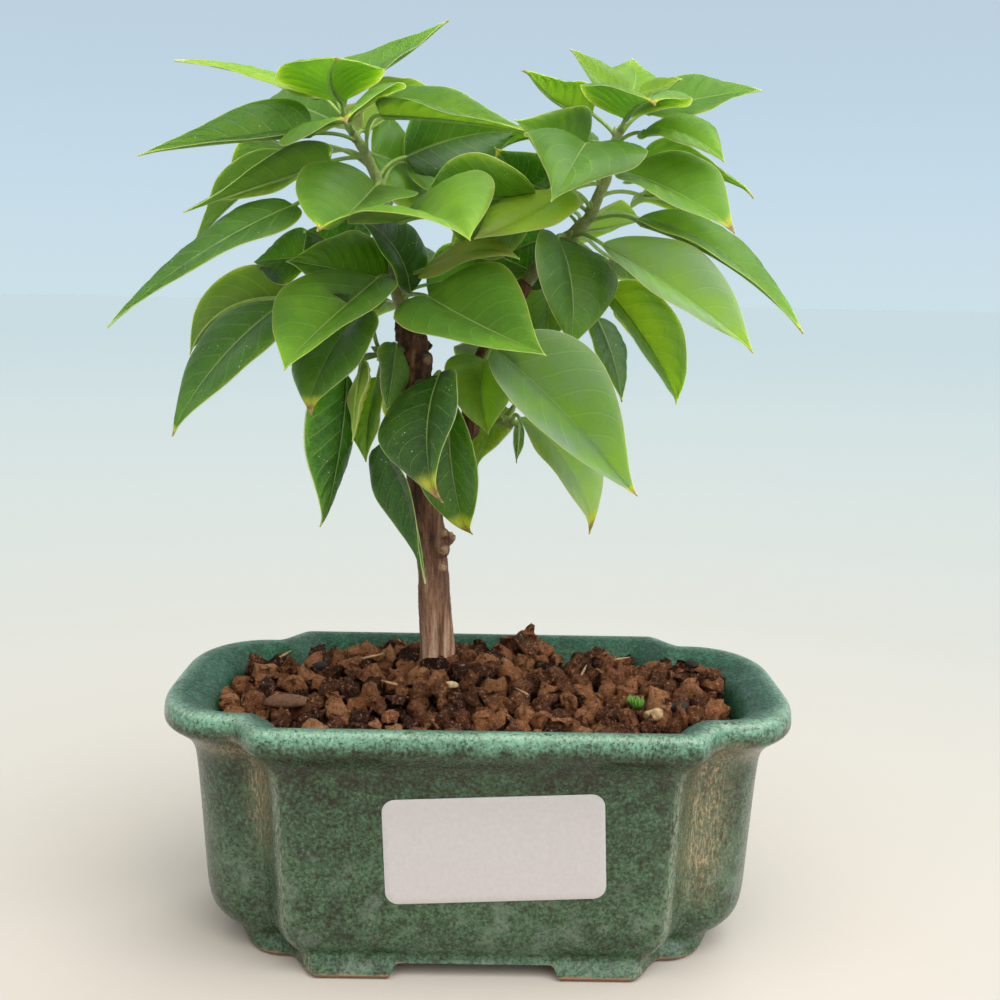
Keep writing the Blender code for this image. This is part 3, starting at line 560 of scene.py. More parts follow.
granules_tree, inlet, outlet = node_group(
    "GeometryNodeTree", "poured_granules",
    {"Cover": "Geometry", "Gap": "Float", "Smallest": "Float", "Largest": "Float", "Sink": "Float",
     "Roughness": "Float", "Seed": "Int"},
    {"Granules": "Geometry"},
)
t = granules_tree
facing = node(t, "ShaderNodeSeparateXYZ", {0: node(t, "GeometryNodeInputNormal").outputs[0]}).outputs["Z"]
up_faces = node(t, "FunctionNodeCompare", {0: facing, 1: 0.3}, operation="GREATER_THAN").outputs[0]
strewn = node(t, "GeometryNodeDistributePointsOnFaces", {
    "Mesh": inlet.outputs["Cover"], "Selection": up_faces, "Distance Min": inlet.outputs["Gap"],
    "Density Max": 400000.0, "Seed": inlet.outputs["Seed"],
}, distribute_method="POISSON")
turn = node(t, "FunctionNodeRandomValue", {
    0: (0, 0, 0), 1: (6.28, 6.28, 6.28), 8: inlet.outputs["Seed"],
}, data_type="FLOAT_VECTOR")
grade = node(t, "FunctionNodeRandomValue", {
    2: inlet.outputs["Smallest"], 3: inlet.outputs["Largest"], 8: 11,
}, data_type="FLOAT")
build = node(t, "FunctionNodeRandomValue", {
    0: (0.75, 0.8, 0.6), 1: (1.2, 1.1, 0.95), 8: 5,
}, data_type="FLOAT_VECTOR")
size = scaled(t, build.outputs[0], grade.outputs[1])
lump = node(t, "GeometryNodeMeshIcoSphere", {"Radius": 1.0, "Subdivisions": 2})
poured = node(t, "GeometryNodeInstanceOnPoints", {
    "Points": strewn.outputs["Points"], "Instance": lump.outputs["Mesh"],
    "Rotation": turn.outputs[0], "Scale": size,
})
shade_draw = node(t, "FunctionNodeRandomValue", {2: 0.0, 3: 1.0, 8: 23}, data_type="FLOAT")
marked = node(t, "GeometryNodeStoreNamedAttribute", {
    "Geometry": poured.outputs[0], "Name": "tone", "Value": shade_draw.outputs[1],
}, data_type="FLOAT", domain="INSTANCE")
solid = node(t, "GeometryNodeRealizeInstances", {0: marked.outputs[0]})
where = node(t, "GeometryNodeInputPosition").outputs[0]
fields = []
for scale, depth in ((260.0, 0.0030), (650.0, 0.0018)):
    field = node(t, "ShaderNodeTexNoise", {"Vector": where, "Scale": scale, "Detail": 2.0}).outputs["Color"]
    field = node(t, "ShaderNodeVectorMath", {0: field, 1: (0.5, 0.5, 0.5)}, operation="SUBTRACT").outputs[0]
    fields.append(scaled(t, field, depth * 2))
push = node(t, "ShaderNodeVectorMath", {0: fields[0], 1: fields[1]}, operation="ADD").outputs[0]
push = scaled(t, push, inlet.outputs["Roughness"])
drop = node(t, "ShaderNodeCombineXYZ", {"Z": times(t, inlet.outputs["Sink"], -1.0)}).outputs[0]
push = node(t, "ShaderNodeVectorMath", {0: push, 1: drop}, operation="ADD").outputs[0]
shaped = node(t, "GeometryNodeSetPosition", {"Geometry": solid.outputs[0], "Offset": push})
finished = node(t, "GeometryNodeSetMaterial", {"Geometry": shaped.outputs[0]})
t.links.new(finished.outputs[0], outlet.inputs[0])

granule_clay, tree, shader, coords = new_material("clay_granules")
tone = attribute(tree, "tone")
crust = mottled(tree, coords, 1000.0)
body = ramp(tree, tone, (
    (0.00, (0.022, 0.007, 0.004)), (0.08, (0.060, 0.020, 0.009)), (0.30, (0.150, 0.054, 0.023)),
    (0.55, (0.275, 0.102, 0.040)), (0.80, (0.430, 0.168, 0.064)), (0.985, (0.580, 0.265, 0.115)),
))
colour = tint(tree, ease(tree, crust, 0.540, 0.610), body, (0.74, 0.370, 0.180))
colour = tint(tree, ease(tree, crust, 0.470, 0.400), colour, (0.016, 0.004, 0.002))
paint(tree, shader, colour, 0.92)
shader.inputs["Specular IOR Level"].default_value = 0.25
grit = times(tree, grain(tree, coords, 3800.0, 3.0), 0.5)
bump(tree, shader, maths(tree, "ADD", crust, grit), 0.0042)
finished.inputs["Material"].default_value = granule_clay


def pour(name, gap, smallest, largest, sink, roughness, painted_shade_factor, seed):
    """Granules poured over the cover: a plain mesh. Their gap, radii and sink are in millimetres."""
    made = bpy.data.objects.new(name, cover.data.copy())
    bpy.context.scene.collection.objects.link(made)
    spread = made.modifiers.new("pour", "NODES")
    spread.node_group = granules_tree
    wanted = {"Gap": gap, "Smallest": smallest, "Largest": largest, "Sink": sink}
    for item in granules_tree.interface.items_tree:
        if item.name in wanted:
            spread[item.identifier] = wanted[item.name] * MM
        elif item.name == "Roughness":
            spread[item.identifier] = roughness
        elif item.name == "Seed":
            spread[item.identifier] = seed
    plain(made)
    made.data.shade_smooth()
    tones = made.data.attributes["tone"].data
    values = np.empty(len(tones), np.float32)
    tones.foreach_get("value", values)
    tones.foreach_set("value", values * painted_shade_factor)
    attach(made, "root")
    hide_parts("soil")


pour("clay_granules", GRANULE_GAP, 1.9, 3.4, -0.5, 1.3, 1.0, 4)
# The crumbs keep only about a third of their tone: painted shade in the gaps between the granules.
pour("clay_crumbs", CRUMB_GAP, 1.0, 2.0, 2.6, 0.7, 0.35, 9)

BED_LEVELS = (
    (11.3, 22.8, 21.8), (14.0, 18.6, 17.6), (20.0, 16.3, 15.3), (46.0, 14.4, 13.6), (50.0, 14.4, 13.6),
)
BED_DEPTH = (0, 0, 4.6)
bed_rings = [plan_at(*level) for level in BED_LEVELS] + [ring - BED_DEPTH for ring in cover_rings]
bed = add_mesh("soil_bed", *loft(bed_rings), outward=False)
bed.data.materials.append(granule_clay)
# The bed takes the darkest tone: painted shade under and between the granules.
store(bed.data, "tone", np.zeros(len(bed.data.vertices)))
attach(bed, "root")
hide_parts("soil")
bpy.data.objects.remove(cover)


# Litter on the soil: two tan pebbles, three black bits, slivers of bark, a curled scrap of dry leaf and one
# tuft of moss, lying on the granules.
PEBBLES = (  # x, y, radius, tone from black to tan
    (41.7, -20, 2.1, 0.75), (-7, -6, 1.5, 0.9), (-40.6, 9.8, 1.6, 0.0), (48.2, -17.4, 1.8, 0.0),
    (55.6, 16.8, 1.5, 0.05),
)
SLIVERS = (  # x, y, length, way in degrees
    (-30, 8, 6.0, 20), (12, -12, 5.0, 130), (26, 6, 7.0, 75), (-20, -8, 4.5, 160), (34, 20, 6.0, 10),
    (-52, 16, 5.0, 60),
)
SLIVER_RADIUS = 0.33
SCRAP_PLACE = (-45.8, -17.4)
SCRAP_LENGTH = 11.0
MOSS_PLACE = (38.3, -13)
MOSS_RADIUS = 1.4
MOSS_SHOOTS = 60


def tube(line, radii, sides=20):
    """Points and faces of a round skin along a line."""
    line = np.asarray(line, float)
    ways = np.gradient(line, axis=0)
    ways /= np.linalg.norm(ways, axis=1)[:, None]
    first = np.cross(ways[0], (0.3, 1.0, 0.1))
    turn = np.linspace(0, 2 * math.pi, sides, endpoint=False)
    rings = []
    for centre, way, radius in zip(line, ways, radii):
        first = first - way * (first @ way)
        first /= np.linalg.norm(first)
        other = np.cross(way, first)
        rings.append(centre + radius * (np.outer(np.cos(turn), first) + np.outer(np.sin(turn), other)))
    return loft(rings)


def ball(x, y, z, radius):
    """Points and faces of a rounded knob."""
    levels = np.linspace(-0.97, 0.97, 9)
    line = np.column_stack([np.full(9, x), np.full(9, y), z + radius * levels])
    return tube(line, radius * np.sqrt(1 - levels ** 2), 12)


def joined(parts):
    """Several skins as one set of points and faces."""
    points, faces, count = [], [], 0
    for some, those in parts:
        points.append(some)
        faces += [tuple(i + count for i in face) for face in those]
        count += len(some)
    return np.vstack(points), faces


def rough(points, scale, seed, stretch=1.0):
    """Noise from -1 to 1 at each point; a low stretch draws it out along the trunk."""
    return np.array([
        noise.noise(Vector((x * scale, y * scale, z * scale * stretch + seed))) for x, y, z in points
    ])


def on_soil(x, y, lift):
    """A point above the middles of the top granules."""
    return np.array([x, y, bed_height(np.array([[x, y]], float))[0] + lift])


def curl(place, length, turn):
    """A rolled scrap: a thin closed skin, open along one side."""
    along = np.array([math.cos(turn), math.sin(turn), 0.12])
    beside = np.array([-math.sin(turn), math.cos(turn), 0.0])
    arc = np.linspace(-2.1, 1.7, 11)
    rings = []
    for share in np.linspace(0, 1, 9):
        radius = 0.5 + 1.6 * math.sin(math.pi * (0.12 + 0.76 * share))
        wide = np.concatenate([arc, arc[::-1]])
        reach = np.concatenate([np.full(11, radius), np.full(11, radius - 0.3)])
        middle = place + along * length * (share - 0.5)
        bow = np.outer(reach * np.sin(wide), beside) + np.outer(reach * np.cos(wide), (0, 0, 1))
        rings.append(middle + bow)
    return loft(rings)


bits, bit_tones = [], []
for x, y, radius, shade in PEBBLES:
    middle = on_soil(x, y, 3.0)
    points, faces = ball(*middle, radius)
    uneven = 1 + 0.45 * rough(points, 0.6, x)[:, None]
    bits.append(((points - middle) * (1.15, 0.95, 0.75) * uneven + middle, faces))
    bit_tones.append(shade)
for x, y, length, turn in SLIVERS:
    way = length * np.array([math.cos(math.radians(turn)), math.sin(math.radians(turn)), 0.15])
    start = on_soil(x, y, 3.6)
    bits.append(tube([start, start + way * 0.5, start + way], (SLIVER_RADIUS, SLIVER_RADIUS, 0.1), 6))
    bit_tones.append(0.65)
bits.append(curl(on_soil(*SCRAP_PLACE, 3.6), SCRAP_LENGTH, -0.35))
bit_tones.append(0.30)
litter = add_mesh("soil_litter", *joined(bits))
store(litter.data, "tone", np.repeat(bit_tones, [len(points) for points, _ in bits]))
litter_brown, tree, shader, coords = new_material("soil_litter")
wear = mottled(tree, coords, 900.0)
bare = ramp(tree, attribute(tree, "tone"), (
    (0.0, (0.010, 0.010, 0.009)), (0.15, (0.030, 0.024, 0.018)), (0.30, (0.150, 0.070, 0.035)),
    (0.65, (0.420, 0.250, 0.120)), (1.0, (0.560, 0.430, 0.200)),
))
paint(tree, shader, tint(tree, ease(tree, wear, 0.40, 0.56, 0.55, 0.0), bare, (0.020, 0.010, 0.006)), 0.8)
bump(tree, shader, wear, 0.0006)
litter.data.materials.append(litter_brown)
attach(litter, "root")
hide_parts("soil")

draw = np.random.default_rng(77)
tuft = []
for _ in range(MOSS_SHOOTS):
    turn, reach = draw.uniform(0, 2 * math.pi), MOSS_RADIUS * math.sqrt(draw.uniform(0, 1))
    foot = on_soil(MOSS_PLACE[0] + reach * math.cos(turn), MOSS_PLACE[1] + reach * math.sin(turn), 2.4)
    lean = np.array([0.5 * reach * math.cos(turn), 0.5 * reach * math.sin(turn), draw.uniform(1.2, 2.6)])
    lean += draw.uniform(-0.5, 0.5, 3)
    tuft.append(tube([foot, foot + lean * 0.6, foot + lean], (0.30, 0.24, 0.06), 5))
moss = add_mesh("moss_tuft", *joined(tuft))
moss_green, tree, shader, coords = new_material("moss_green")
mixed = grain(tree, coords, 900.0)
paint(tree, shader, tint(tree, mixed, (0.040, 0.130, 0.010), (0.140, 0.320, 0.035)), 0.7)
moss.data.materials.append(moss_green)
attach(moss, "root")
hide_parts("soil")


# Trunk: one woody stem with a forking limb, a cut side stub and old leaf scars. Its bark is thin, brown and
# furrowed lengthwise, pale and streaked low down and dark and lumpy where it was cut back.
TRUNK_LINE = (
    (-11, 18, 47), (-11, 18, 62), (-12, 17, 77), (-13, 15, 92), (-15, 13, 104), (-15, 12, 114),
    (-16, 11, 124), (-17, 10, 134), (-18, 10, 143), (-20, 10, 151),
)
TRUNK_RADII = (5.0, 4.6, 4.15, 4.05, 4.3, 4.6, 4.4, 4.0, 3.7, 2.9)
LIMB_LINE = ((-15, 12, 108), (-9, 10, 117), (-4, 9, 123), (-1, 8, 134), (1, 8, 142), (5, 9, 151), (10, 9, 159))
LIMB_RADII = (3.2, 3.0, 2.9, 2.8, 2.7, 2.5, 2.1)
STUB_LINE = ((-12, 15, 91), (-9.4, 14.2, 93), (-7.2, 13.5, 94.8))
STUB_RADII = (2.4, 1.8, 1.3)
KNOBS = (  # x, y, z, radius
    (-9.9, 12.2, 91.0, 2.0), (-9.6, 12.0, 95.4, 1.4), (-9.6, 13.2, 86.2, 1.2), (-19.6, 8.6, 128.0, 1.9),
    (-13.4, 8.2, 131.0, 1.8), (-20.2, 8.0, 137.0, 1.9), (-14.6, 7.6, 140.0, 1.8), (-21.0, 9.0, 145.0, 1.7),
    (-19.0, 13.4, 134.0, 1.8), (-15.0, 13.2, 143.0, 1.7), (4.6, 9.4, 147.5, 1.6), (-2.8, 6.4, 129.0, 1.6),
)
BARK_SCARS = (  # x, y, z, radius
    (-9.4, 10.6, 95.6, 1.3), (-9.4, 10.2, 91.2, 1.5), (-9.2, 11.6, 86.2, 1.5), (-7.0, 13.4, 95.0, 1.3),
    (-12.4, 6.9, 131.4, 1.3), (-18.0, 6.7, 128.6, 1.4), (-14.0, 6.4, 140.4, 1.3), (-2.4, 4.9, 129.2, 1.2),
)
VOXEL = 0.42


def curved(line, values=None, steps=8):
    """A line rounded into a smooth curve through its points, with the values that go with it."""
    line = np.asarray(line, float)
    if values is not None:
        line = np.column_stack([line, values])
    padded = np.vstack([2 * line[0] - line[1], line, 2 * line[-1] - line[-2]])
    out = []
    for i in range(1, len(padded) - 2):
        a, b, c, d = padded[i - 1:i + 3]
        for t in np.arange(steps) / steps:
            square, cube = 2 * a - 5 * b + 4 * c - d, 3 * b - a - 3 * c + d
            out.append(0.5 * (2 * b + (c - a) * t + square * t ** 2 + cube * t ** 3))
    out.append(line[-1])
    out = np.array(out)
    return out if values is None else (out[:, :-1], out[:, -1])


limbs = ((TRUNK_LINE, TRUNK_RADII), (LIMB_LINE, LIMB_RADII), (STUB_LINE, STUB_RADII))
wood = [tube(*curved(*limb)) for limb in limbs] + [ball(*knob) for knob in KNOBS]
trunk = add_mesh("bark_trunk", *joined(wood))
merge = trunk.modifiers.new("merge", "REMESH")
merge.mode = "VOXEL"
merge.voxel_size = VOXEL * MM
soften = trunk.modifiers.new("soften", "SMOOTH")
soften.factor = 0.6
soften.iterations = 5
plain(trunk)
spots, normals = points_of(trunk.data)
lumpy = np.clip((spots[:, 2] - 112) / 10, 0, 1) * np.clip((158 - spots[:, 2]) / 8, 0, 1)
scar = np.zeros(len(spots))
for x, y, z, radius in BARK_SCARS:
    away = np.linalg.norm(spots - (x, y, z), axis=1) / radius
    scar = np.maximum(scar, np.clip(1.35 - away, 0, 1))
furrow = rough(spots, 0.85, 2.0, 0.13)
swell = (
    0.20 * furrow + 0.18 * rough(spots, 1.9, 7.0, 0.22) * (0.6 + lumpy) + 0.12 * rough(spots, 3.4, 5.0)
    + lumpy * (0.75 * rough(spots, 0.38, 11.0) + 0.45 * rough(spots, 0.85, 17.0))
    + 0.25 * rough(spots, 0.16, 29.0) - 0.5 * scar * (0.5 + rough(spots, 1.2, 3.0))
)
trunk.data.vertices.foreach_set("co", placed(spots + normals * swell[:, None]).ravel())
trunk.data.update()
trunk.data.shade_smooth()
store(trunk.data, "scar", np.clip(scar * 1.5, 0, 1))
store(trunk.data, "height", np.clip((spots[:, 2] - 64) / 38, 0, 1))
# Where the bark is pushed in, in its furrows and scars, it is painted darker as shade.
store(trunk.data, "painted_furrow_shade", np.clip(0.5 - swell * 1.1, 0, 1))
bark, tree, shader, coords = new_material("brown_bark")
height = attribute(tree, "height")
streak = grain(tree, coords, 620.0, 5.0, 0.65, stretch=(1.0, 1.0, 0.10))
flake = mottled(tree, coords, 420.0)
low = ramp(tree, streak, (
    (0.32, (0.090, 0.038, 0.018)), (0.43, (0.210, 0.100, 0.052)),
    (0.52, (0.345, 0.188, 0.110)), (0.64, (0.53, 0.350, 0.235)),
))
high = ramp(tree, streak, (
    (0.34, (0.042, 0.013, 0.006)), (0.48, (0.115, 0.043, 0.019)),
    (0.58, (0.205, 0.085, 0.039)), (0.70, (0.35, 0.175, 0.090)),
))
colour = tint(tree, height, low, high)
# Painted shade in the furrows and scars.
colour = tint(tree, ease(tree, attribute(tree, "painted_furrow_shade"), 0.55, 0.95, 0.0, 0.6), colour, (0.024, 0.009, 0.004))
colour = tint(tree, ease(tree, flake, 0.57, 0.66, 0.0, 0.5), colour, (0.30, 0.165, 0.095))
cut_wood = tint(tree, mottled(tree, coords, 1200.0), (0.28, 0.14, 0.06), (0.60, 0.40, 0.22))
scarred = times(tree, attribute(tree, "scar"), ease(tree, flake, 0.40, 0.52))
paint(tree, shader, tint(tree, scarred, colour, cut_wood), 0.72)
bump(tree, shader, maths(tree, "ADD", streak, times(tree, flake, 0.8)), 0.0006)
trunk.data.materials.clear()
trunk.data.materials.append(bark)
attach(trunk, "root")
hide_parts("trunk")


# Leafy shoots: two crown shoots and six short sprays on the old wood. A soft green stem carries stalks that
# swell where they leave it, each drawn on as the midrib under its blade; a small bud sits in each fork.
CROWN_RADII = (1.8, 0.95)
SPRAY_RADII = (1.5, 1.2)
STALK_RADII = (0.85, 0.52, 0.50)
MIDRIB_RADII = (0.55, 0.14)
TRUNK_ROOT = (-11, 18, 24)  # in the soil: the trunk's shares, where sprays leave it, count from here
STEM_POINTS = 90
STALK_POINTS = 18
RIB_POINTS = 22
STALK_SIDES = 10
GROWN_WIDTH = 22  # narrower leaves have thinner stalks
TIP_DROOPS = (10, 14, 60, 110, 110)  # how hard the last of a blade bends down, by how much has dried
TIP_HOOK = 35
LEFT_SHOOT_LINE = (
    (-22, 10, 157), (-24, 10, 169), (-26, 10, 180), (-28, 10, 185), (-31, 10, 191), (-35, 9, 197),
)
RIGHT_SHOOT_LINE = (
    (15, 9, 166), (20, 8, 170), (25, 8, 175), (27, 8, 180), (29, 8, 185), (30, 9, 191), (33, 9, 198),
)
# One row for each leaf: its tone (0 young and pale to 1 old and dark, and besides age it holds painted shade and
# light for where the leaf sits in the crown; 1 more where a pale bluish painted sheen is laid on it), how far
# along its stem the stalk leaves it, where the blade begins, its tip, its width, the way its upper side faces,
# how far its midrib bows up, the fold of each half in degrees, its belly (lower is widest nearer the stalk),
# how far the midrib bends sideways, the turn of the tip in degrees, and how much of the tip has dried (0 to 4).
USUAL = (10, 0.62, 0, 0, 0)  # the last five of those, for a leaf of the usual shape
LEFT_LEAVES = (
    (0.31, 0.98, (-35.6, 6, 201.4), (-33.1, -26.1, 207), 25.9, (-0.14, 0.16, 0.98), 0.7, 12, 0.74, 2.3, 22, 1),
    (0.54, 0.99, (-36.2, 14.3, 205.9), (-10.9, 26.8, 224.9), 19, (-0.38, -0.45, 0.81), -1.7, 23, 0.56, -0.3, 3, 1),
    (0.27, 0.97, (-40.8, 9, 202.5), (-74.4, -1, 209.3), 17, (0.24, -0.16, 0.96), 1.5, 3, 0.64, 0, 19, 0),
    (0.58, 0.91, (-37.7, 18, 197.4), (-60.8, 47.9, 205.3), 24.2, (-0.46, -0.54, 0.71), 2.6, 12, 0.63, 0.1, 1, 0),
    (0.86, 0.87, (-41.6, 1.4, 193.2), (-81.9, -7.4, 186.9), 18.8, (0.02, -0.65, 0.76), 1, 40, 0.42, -0.5, 6, 0),
    (0.5, 0.92, (-33.5, 1.9, 196.2), (-31.1, -34, 193.4), 32.7, (-0.49, -0.1, 0.87), -0.2, 9, 0.59, 0.6, 11, 2),
    (0.58, 0.79, (-26.1, 3.3, 198.1), (11, -4.8, 193.6), 19.1, (0.02, -0.4, 0.92), 1.4, 43, 0.42, 1.6, -4, 0),
    (0, 0.85, (-31.7, 17.4, 195.8), (-11, 48.3, 208.4), 27.1, (-0.55, 0.02, 0.84), 1.2, 39, 0.42, -0.4, -4, 0),
    (0.92, 0.66, (-20.9, 17.8, 189.5), (8.3, 34.2, 198), 24.7, (0.46, -0.88, 0.1), 1, 19, 0.61, -1.9, 0, 0),
    (0.5, 0.69, (-29.2, 18.6, 190.3), (-14.2, 36.4, 182.3), 27.9, (0.77, -0.44, 0.46), 1.8, 5, 0.57, -0.2, 8, 0),
    (0.56, 0.78, (-38.8, 9.4, 187.4), (-70.7, -11.1, 173.7), 22, (-0.49, 0.2, 0.85), 0, 14, 0.47, -0.4, 10, 0),
    (0.53, 0.74, (-48.6, 23.4, 190), (-76, 26.3, 166.6), 28.7, (-0.65, -0.01, 0.76), 2, 20, 0.6, 0, 7, 0),
    (0.52, 0.63, (-26.4, -2, 181.2), (-35.9, -35.6, 170.1), 31.3, (0.26, -0.37, 0.89), -4.6, 31, 0.55, 1.3, -44, 3),
    (0.76, 0.59, (-45.8, -3.3, 176), (-85.6, -24.4, 147.1), 20.7, (-0.3, -0.53, 0.8), 2.9, 6, 0.47, -0.8, -5, 0),
    (0.42, 0.53, (-21.3, -4.2, 172.7), (-3.3, -39.8, 167.7), 36.8, (-0.26, -0.26, 0.93), 2.7, 18, 0.72, -1, 13, 0),
    (0.99, 0.21, (-18.5, 4.6, 156), (-33.4, 2.9, 174.4), 27.7, (0.74, -0.37, 0.56), 4, 12, 0.67, 0.2, 5, 0),
    (0.88, 0.19, (-42.4, 19.6, 164.7), (-59.5, 22.3, 163), 23.6, (-0.17, -0.5, 0.85), 1, 7, 0.73, -1.6, 6, 0),
    (0.79, 0.16, (-24, 7, 158.9), (-48, -1.2, 163.1), 25, (0.35, -0.76, 0.55), 2.4, 10, 0.59, -1.5, 0, 0),
    (0.89, 0.11, (-48.2, 9, 154.1), (-72, 0.7, 140.4), 25.7, (-0.31, 0.95, -0.04), 5, 50, 0.53, -4.7, -7, 0),
    (0.83, 0.09, (-49.2, -1.8, 152.5), (-73.8, -12.9, 121.7), 25.1, (-0.5, -0.61, 0.62), 2.7, 7, 0.63, 0.4, 7, 1),
    (0.54, 0.11, (-25.9, -3.3, 159.2), (-44.1, -35, 138.9), 30, (-0.08, -0.5, 0.86), -3.9, 25, 0.56, 5, -3, 0),
    (0.02, 0.11, (-15.3, 3.7, 161.6), (7.4, -13.8, 164.2), 15.6, (-0.38, -0.37, 0.85), 1.1, 3, 0.5, -5, 4, 0),
    (0.58, 0.05, (-14.3, -1.2, 155.2), (13.4, -36.2, 143.2), 32.2, (-0.22, -0.47, 0.86), -1.3, 21, 0.52, -0.3, -21, 0),
    (0.76, 0.05, (-28, 32, 154), (-52, 58, 135), 24, (-0.2, 0.6, 0.75), 4, *USUAL),
    (0.76, 0.05, (-15, 35, 154), (9, 66, 143), 25, (0.1, 0.6, 0.75), 4, *USUAL),
    (0.76, 0.09, (-43, 44, 153), (-76, 62, 138), 24, (-0.2, 0.6, 0.75), 4, *USUAL),
    (0.76, 0.77, (-47, 36, 190), (-74, 62, 183), 22, (-0.2, 0.5, 0.8), 4, *USUAL),
    (0.76, 0.37, (-21, 46, 182), (-5, 72, 186), 22, (0.1, 0.5, 0.8), 3, *USUAL),
    (0.76, 0.14, (-30, 36, 164), (-52, 64, 165), 22, (-0.1, 0.5, 0.8), 3, *USUAL),
    (0.76, 0.19, (-23, 40, 162), (-26, 72, 168), 22, (0, 0.5, 0.8), 3, *USUAL),
    (0.54, 0.8, (-25, 30, 202), (-6, 58, 206), 14, (0.1, 0.3, 0.9), 1, *USUAL),
    (0.55, 0.6, (-21.2, 20, 188.2), (-3.3, 34, 184.2), 27.7, (0.58, -0.58, 0.57), 3, 9, 0.61, 0.2, -1, 0),
    (0.99, 0.34, (-33.6, 14, 162.8), (-45.8, 18, 171.1), 22, (0, -0.7, 0.7), 2, *USUAL),
    (0.95, 0.06, (-15, 16, 158), (12, 12, 162), 18, (0.1, -0.95, 0.3), 2, 8, 0.6, 0, 0, 0),
)
RIGHT_LEAVES = (
    (0.71, 0.65, (11.8, 2.1, 179.6), (-14.2, 14.3, 183.1), 30.1, (-0.42, -0.73, -0.54), 4.4, 20, 0.71, 0.3, 3, 0),
    (0.99, 0.48, (14.7, 13.1, 181.9), (1.8, 8.2, 191.4), 21.4, (-0.03, -0.87, -0.49), 3.4, 11, 0.59, -0.5, 1, 2),
    (0.54, 0.62, (26.4, 24.6, 194.9), (3, 37.4, 194.2), 25.7, (-0.03, 0, 1), 2.8, 9, 0.62, 0.1, 1, 0),
    (0.18, 0.5, (18.4, 0.5, 180.7), (-3.1, -12.9, 168.9), 28.1, (-0.32, -0.29, 0.9), -1.4, 8, 0.66, -0.8, 24, 0),
    (0.67, 0.32, (17.1, 2.9, 169.5), (20.3, -7.3, 143.4), 27.8, (0.62, -0.7, 0.35), 4.1, 16, 0.64, 1.1, -37, 0),
    (1.4, 0.32, (27.3, -6.2, 168.2), (62.4, -18.2, 144), 20.4, (0.13, -0.8, 0.58), 3.3, 36, 0.92, 0.9, 6, 1),
    (0.56, 0.31, (30.2, 10.1, 157.5), (49, 12.4, 129.5), 21.4, (0.37, -0.91, 0.18), 7.4, 50, 0.7, 2.1, -3, 1),
    (0.49, 0.42, (35.9, 0.7, 174.2), (74.8, -12.9, 148.5), 20.2, (0.37, -0.46, 0.81), 3.9, 25, 0.64, 0.3, -12, 1),
    (0, 0.43, (24.4, 22.1, 172.6), (42.3, 49.8, 177.2), 17.7, (-0.54, 0.22, 0.81), -0.5, 16, 0.48, 0.1, -9, 0),
    (0.45, 0.68, (32.2, -0.6, 185.5), (56.7, -18.1, 171.7), 27.7, (0.08, -0.55, 0.83), 1.9, 22, 0.75, 0.5, -12, 2),
    (0.36, 0.58, (38, 14, 181), (54, 20, 174), 24, (0.1, 0.3, 0.95), 3, *USUAL),
    (0.64, 0.77, (22.3, -3.7, 187.8), (14.2, -34.4, 176.2), 28.2, (0.16, -0.39, 0.91), 8.3, 3, 0.82, -1.8, 2, 0),
    (0.51, 0.79, (23.8, 7.9, 192.9), (6.2, -10.1, 196.1), 18.3, (0.68, -0.7, -0.22), 0.7, 14, 0.55, -1.2, 1, 0),
    (0.46, 0.9, (25.2, 8.8, 200), (8.4, 5.8, 210.6), 19.2, (0.5, 0.17, 0.85), -2.5, 32, 0.6, 0.1, 0, 2),
    (0.41, 0.97, (33.7, 11.8, 204.2), (19.4, 6.2, 215.1), 10.9, (0.57, -0.75, 0.35), -0.7, 18, 0.61, -0.4, 0, 0),
    (0.32, 0.99, (35.3, 16, 206.4), (36.6, 28, 216.3), 14.7, (0.38, -0.61, 0.69), -0.2, 13, 0.56, 0.9, 2, 0),
    (0.27, 0.99, (36.1, 7.1, 204.8), (45.1, -4.9, 207.1), 9.7, (-0.63, -0.34, 0.7), -0.4, 11, 0.6, 0.5, 3, 0),
    (0.5, 0.93, (32.9, 4, 198.5), (35.6, -32, 198.1), 26.9, (0, -0.01, 1), 1.5, 15, 0.68, -0.1, 10, 2),
    (0.6, 0.87, (38.1, 9.6, 200.6), (66.1, 7.8, 206.5), 18, (-0.2, -0.57, 0.8), 0.8, 16, 0.72, 0.1, -12, 0),
    (0.44, 0.86, (36.9, 2.5, 195), (54.5, -12.9, 187.4), 18.8, (-0.06, -0.5, 0.86), 2.3, 13, 0.74, -1.3, 0, 0),
    (0.52, 0.83, (39.2, 19.9, 191), (66.9, 14.7, 182.2), 19.8, (0.33, 0.18, 0.93), 1.4, 12, 0.45, -0.3, 3, 2),
    (0.76, 0.31, (33, 34, 166), (66, 56, 151), 22, (0.1, 0.6, 0.75), 4, *USUAL),
    (0.76, 0.24, (23, 36, 167), (28, 62, 148), 20, (0.1, 0.7, 0.6), 4, *USUAL),
    (0.76, 0.69, (40, 36, 186), (62, 66, 186), 20, (0.1, 0.5, 0.8), 3, *USUAL),
    (0.76, 0.38, (19, 36, 179), (7, 68, 184), 22, (-0.1, 0.5, 0.8), 3, *USUAL),
    (0.54, 0.43, (43, 38, 176), (66, 54, 171), 14, (0.1, 0.4, 0.9), 3, *USUAL),
    (0.76, 0.3, (36, 30, 155), (50, 40, 136), 14, (0.3, 0.7, 0.5), 3, *USUAL),
    (0.99, 0.1, (15.5, 20, 170.4), (0.9, 26, 162.7), 25, (-0.1, -0.95, 0.3), 3, *USUAL),
    (0.77, 0.12, (15.7, 22, 164.4), (15.8, 24, 141.9), 17, (0.1, -0.97, 0.2), 3, *USUAL),
    (0.45, 0.4, (4, 19, 180), (-9.4, 12, 166.3), 13, (-0.6, -0.7, 0.3), 1, 10, 0.6, 0, 0, 3),
)
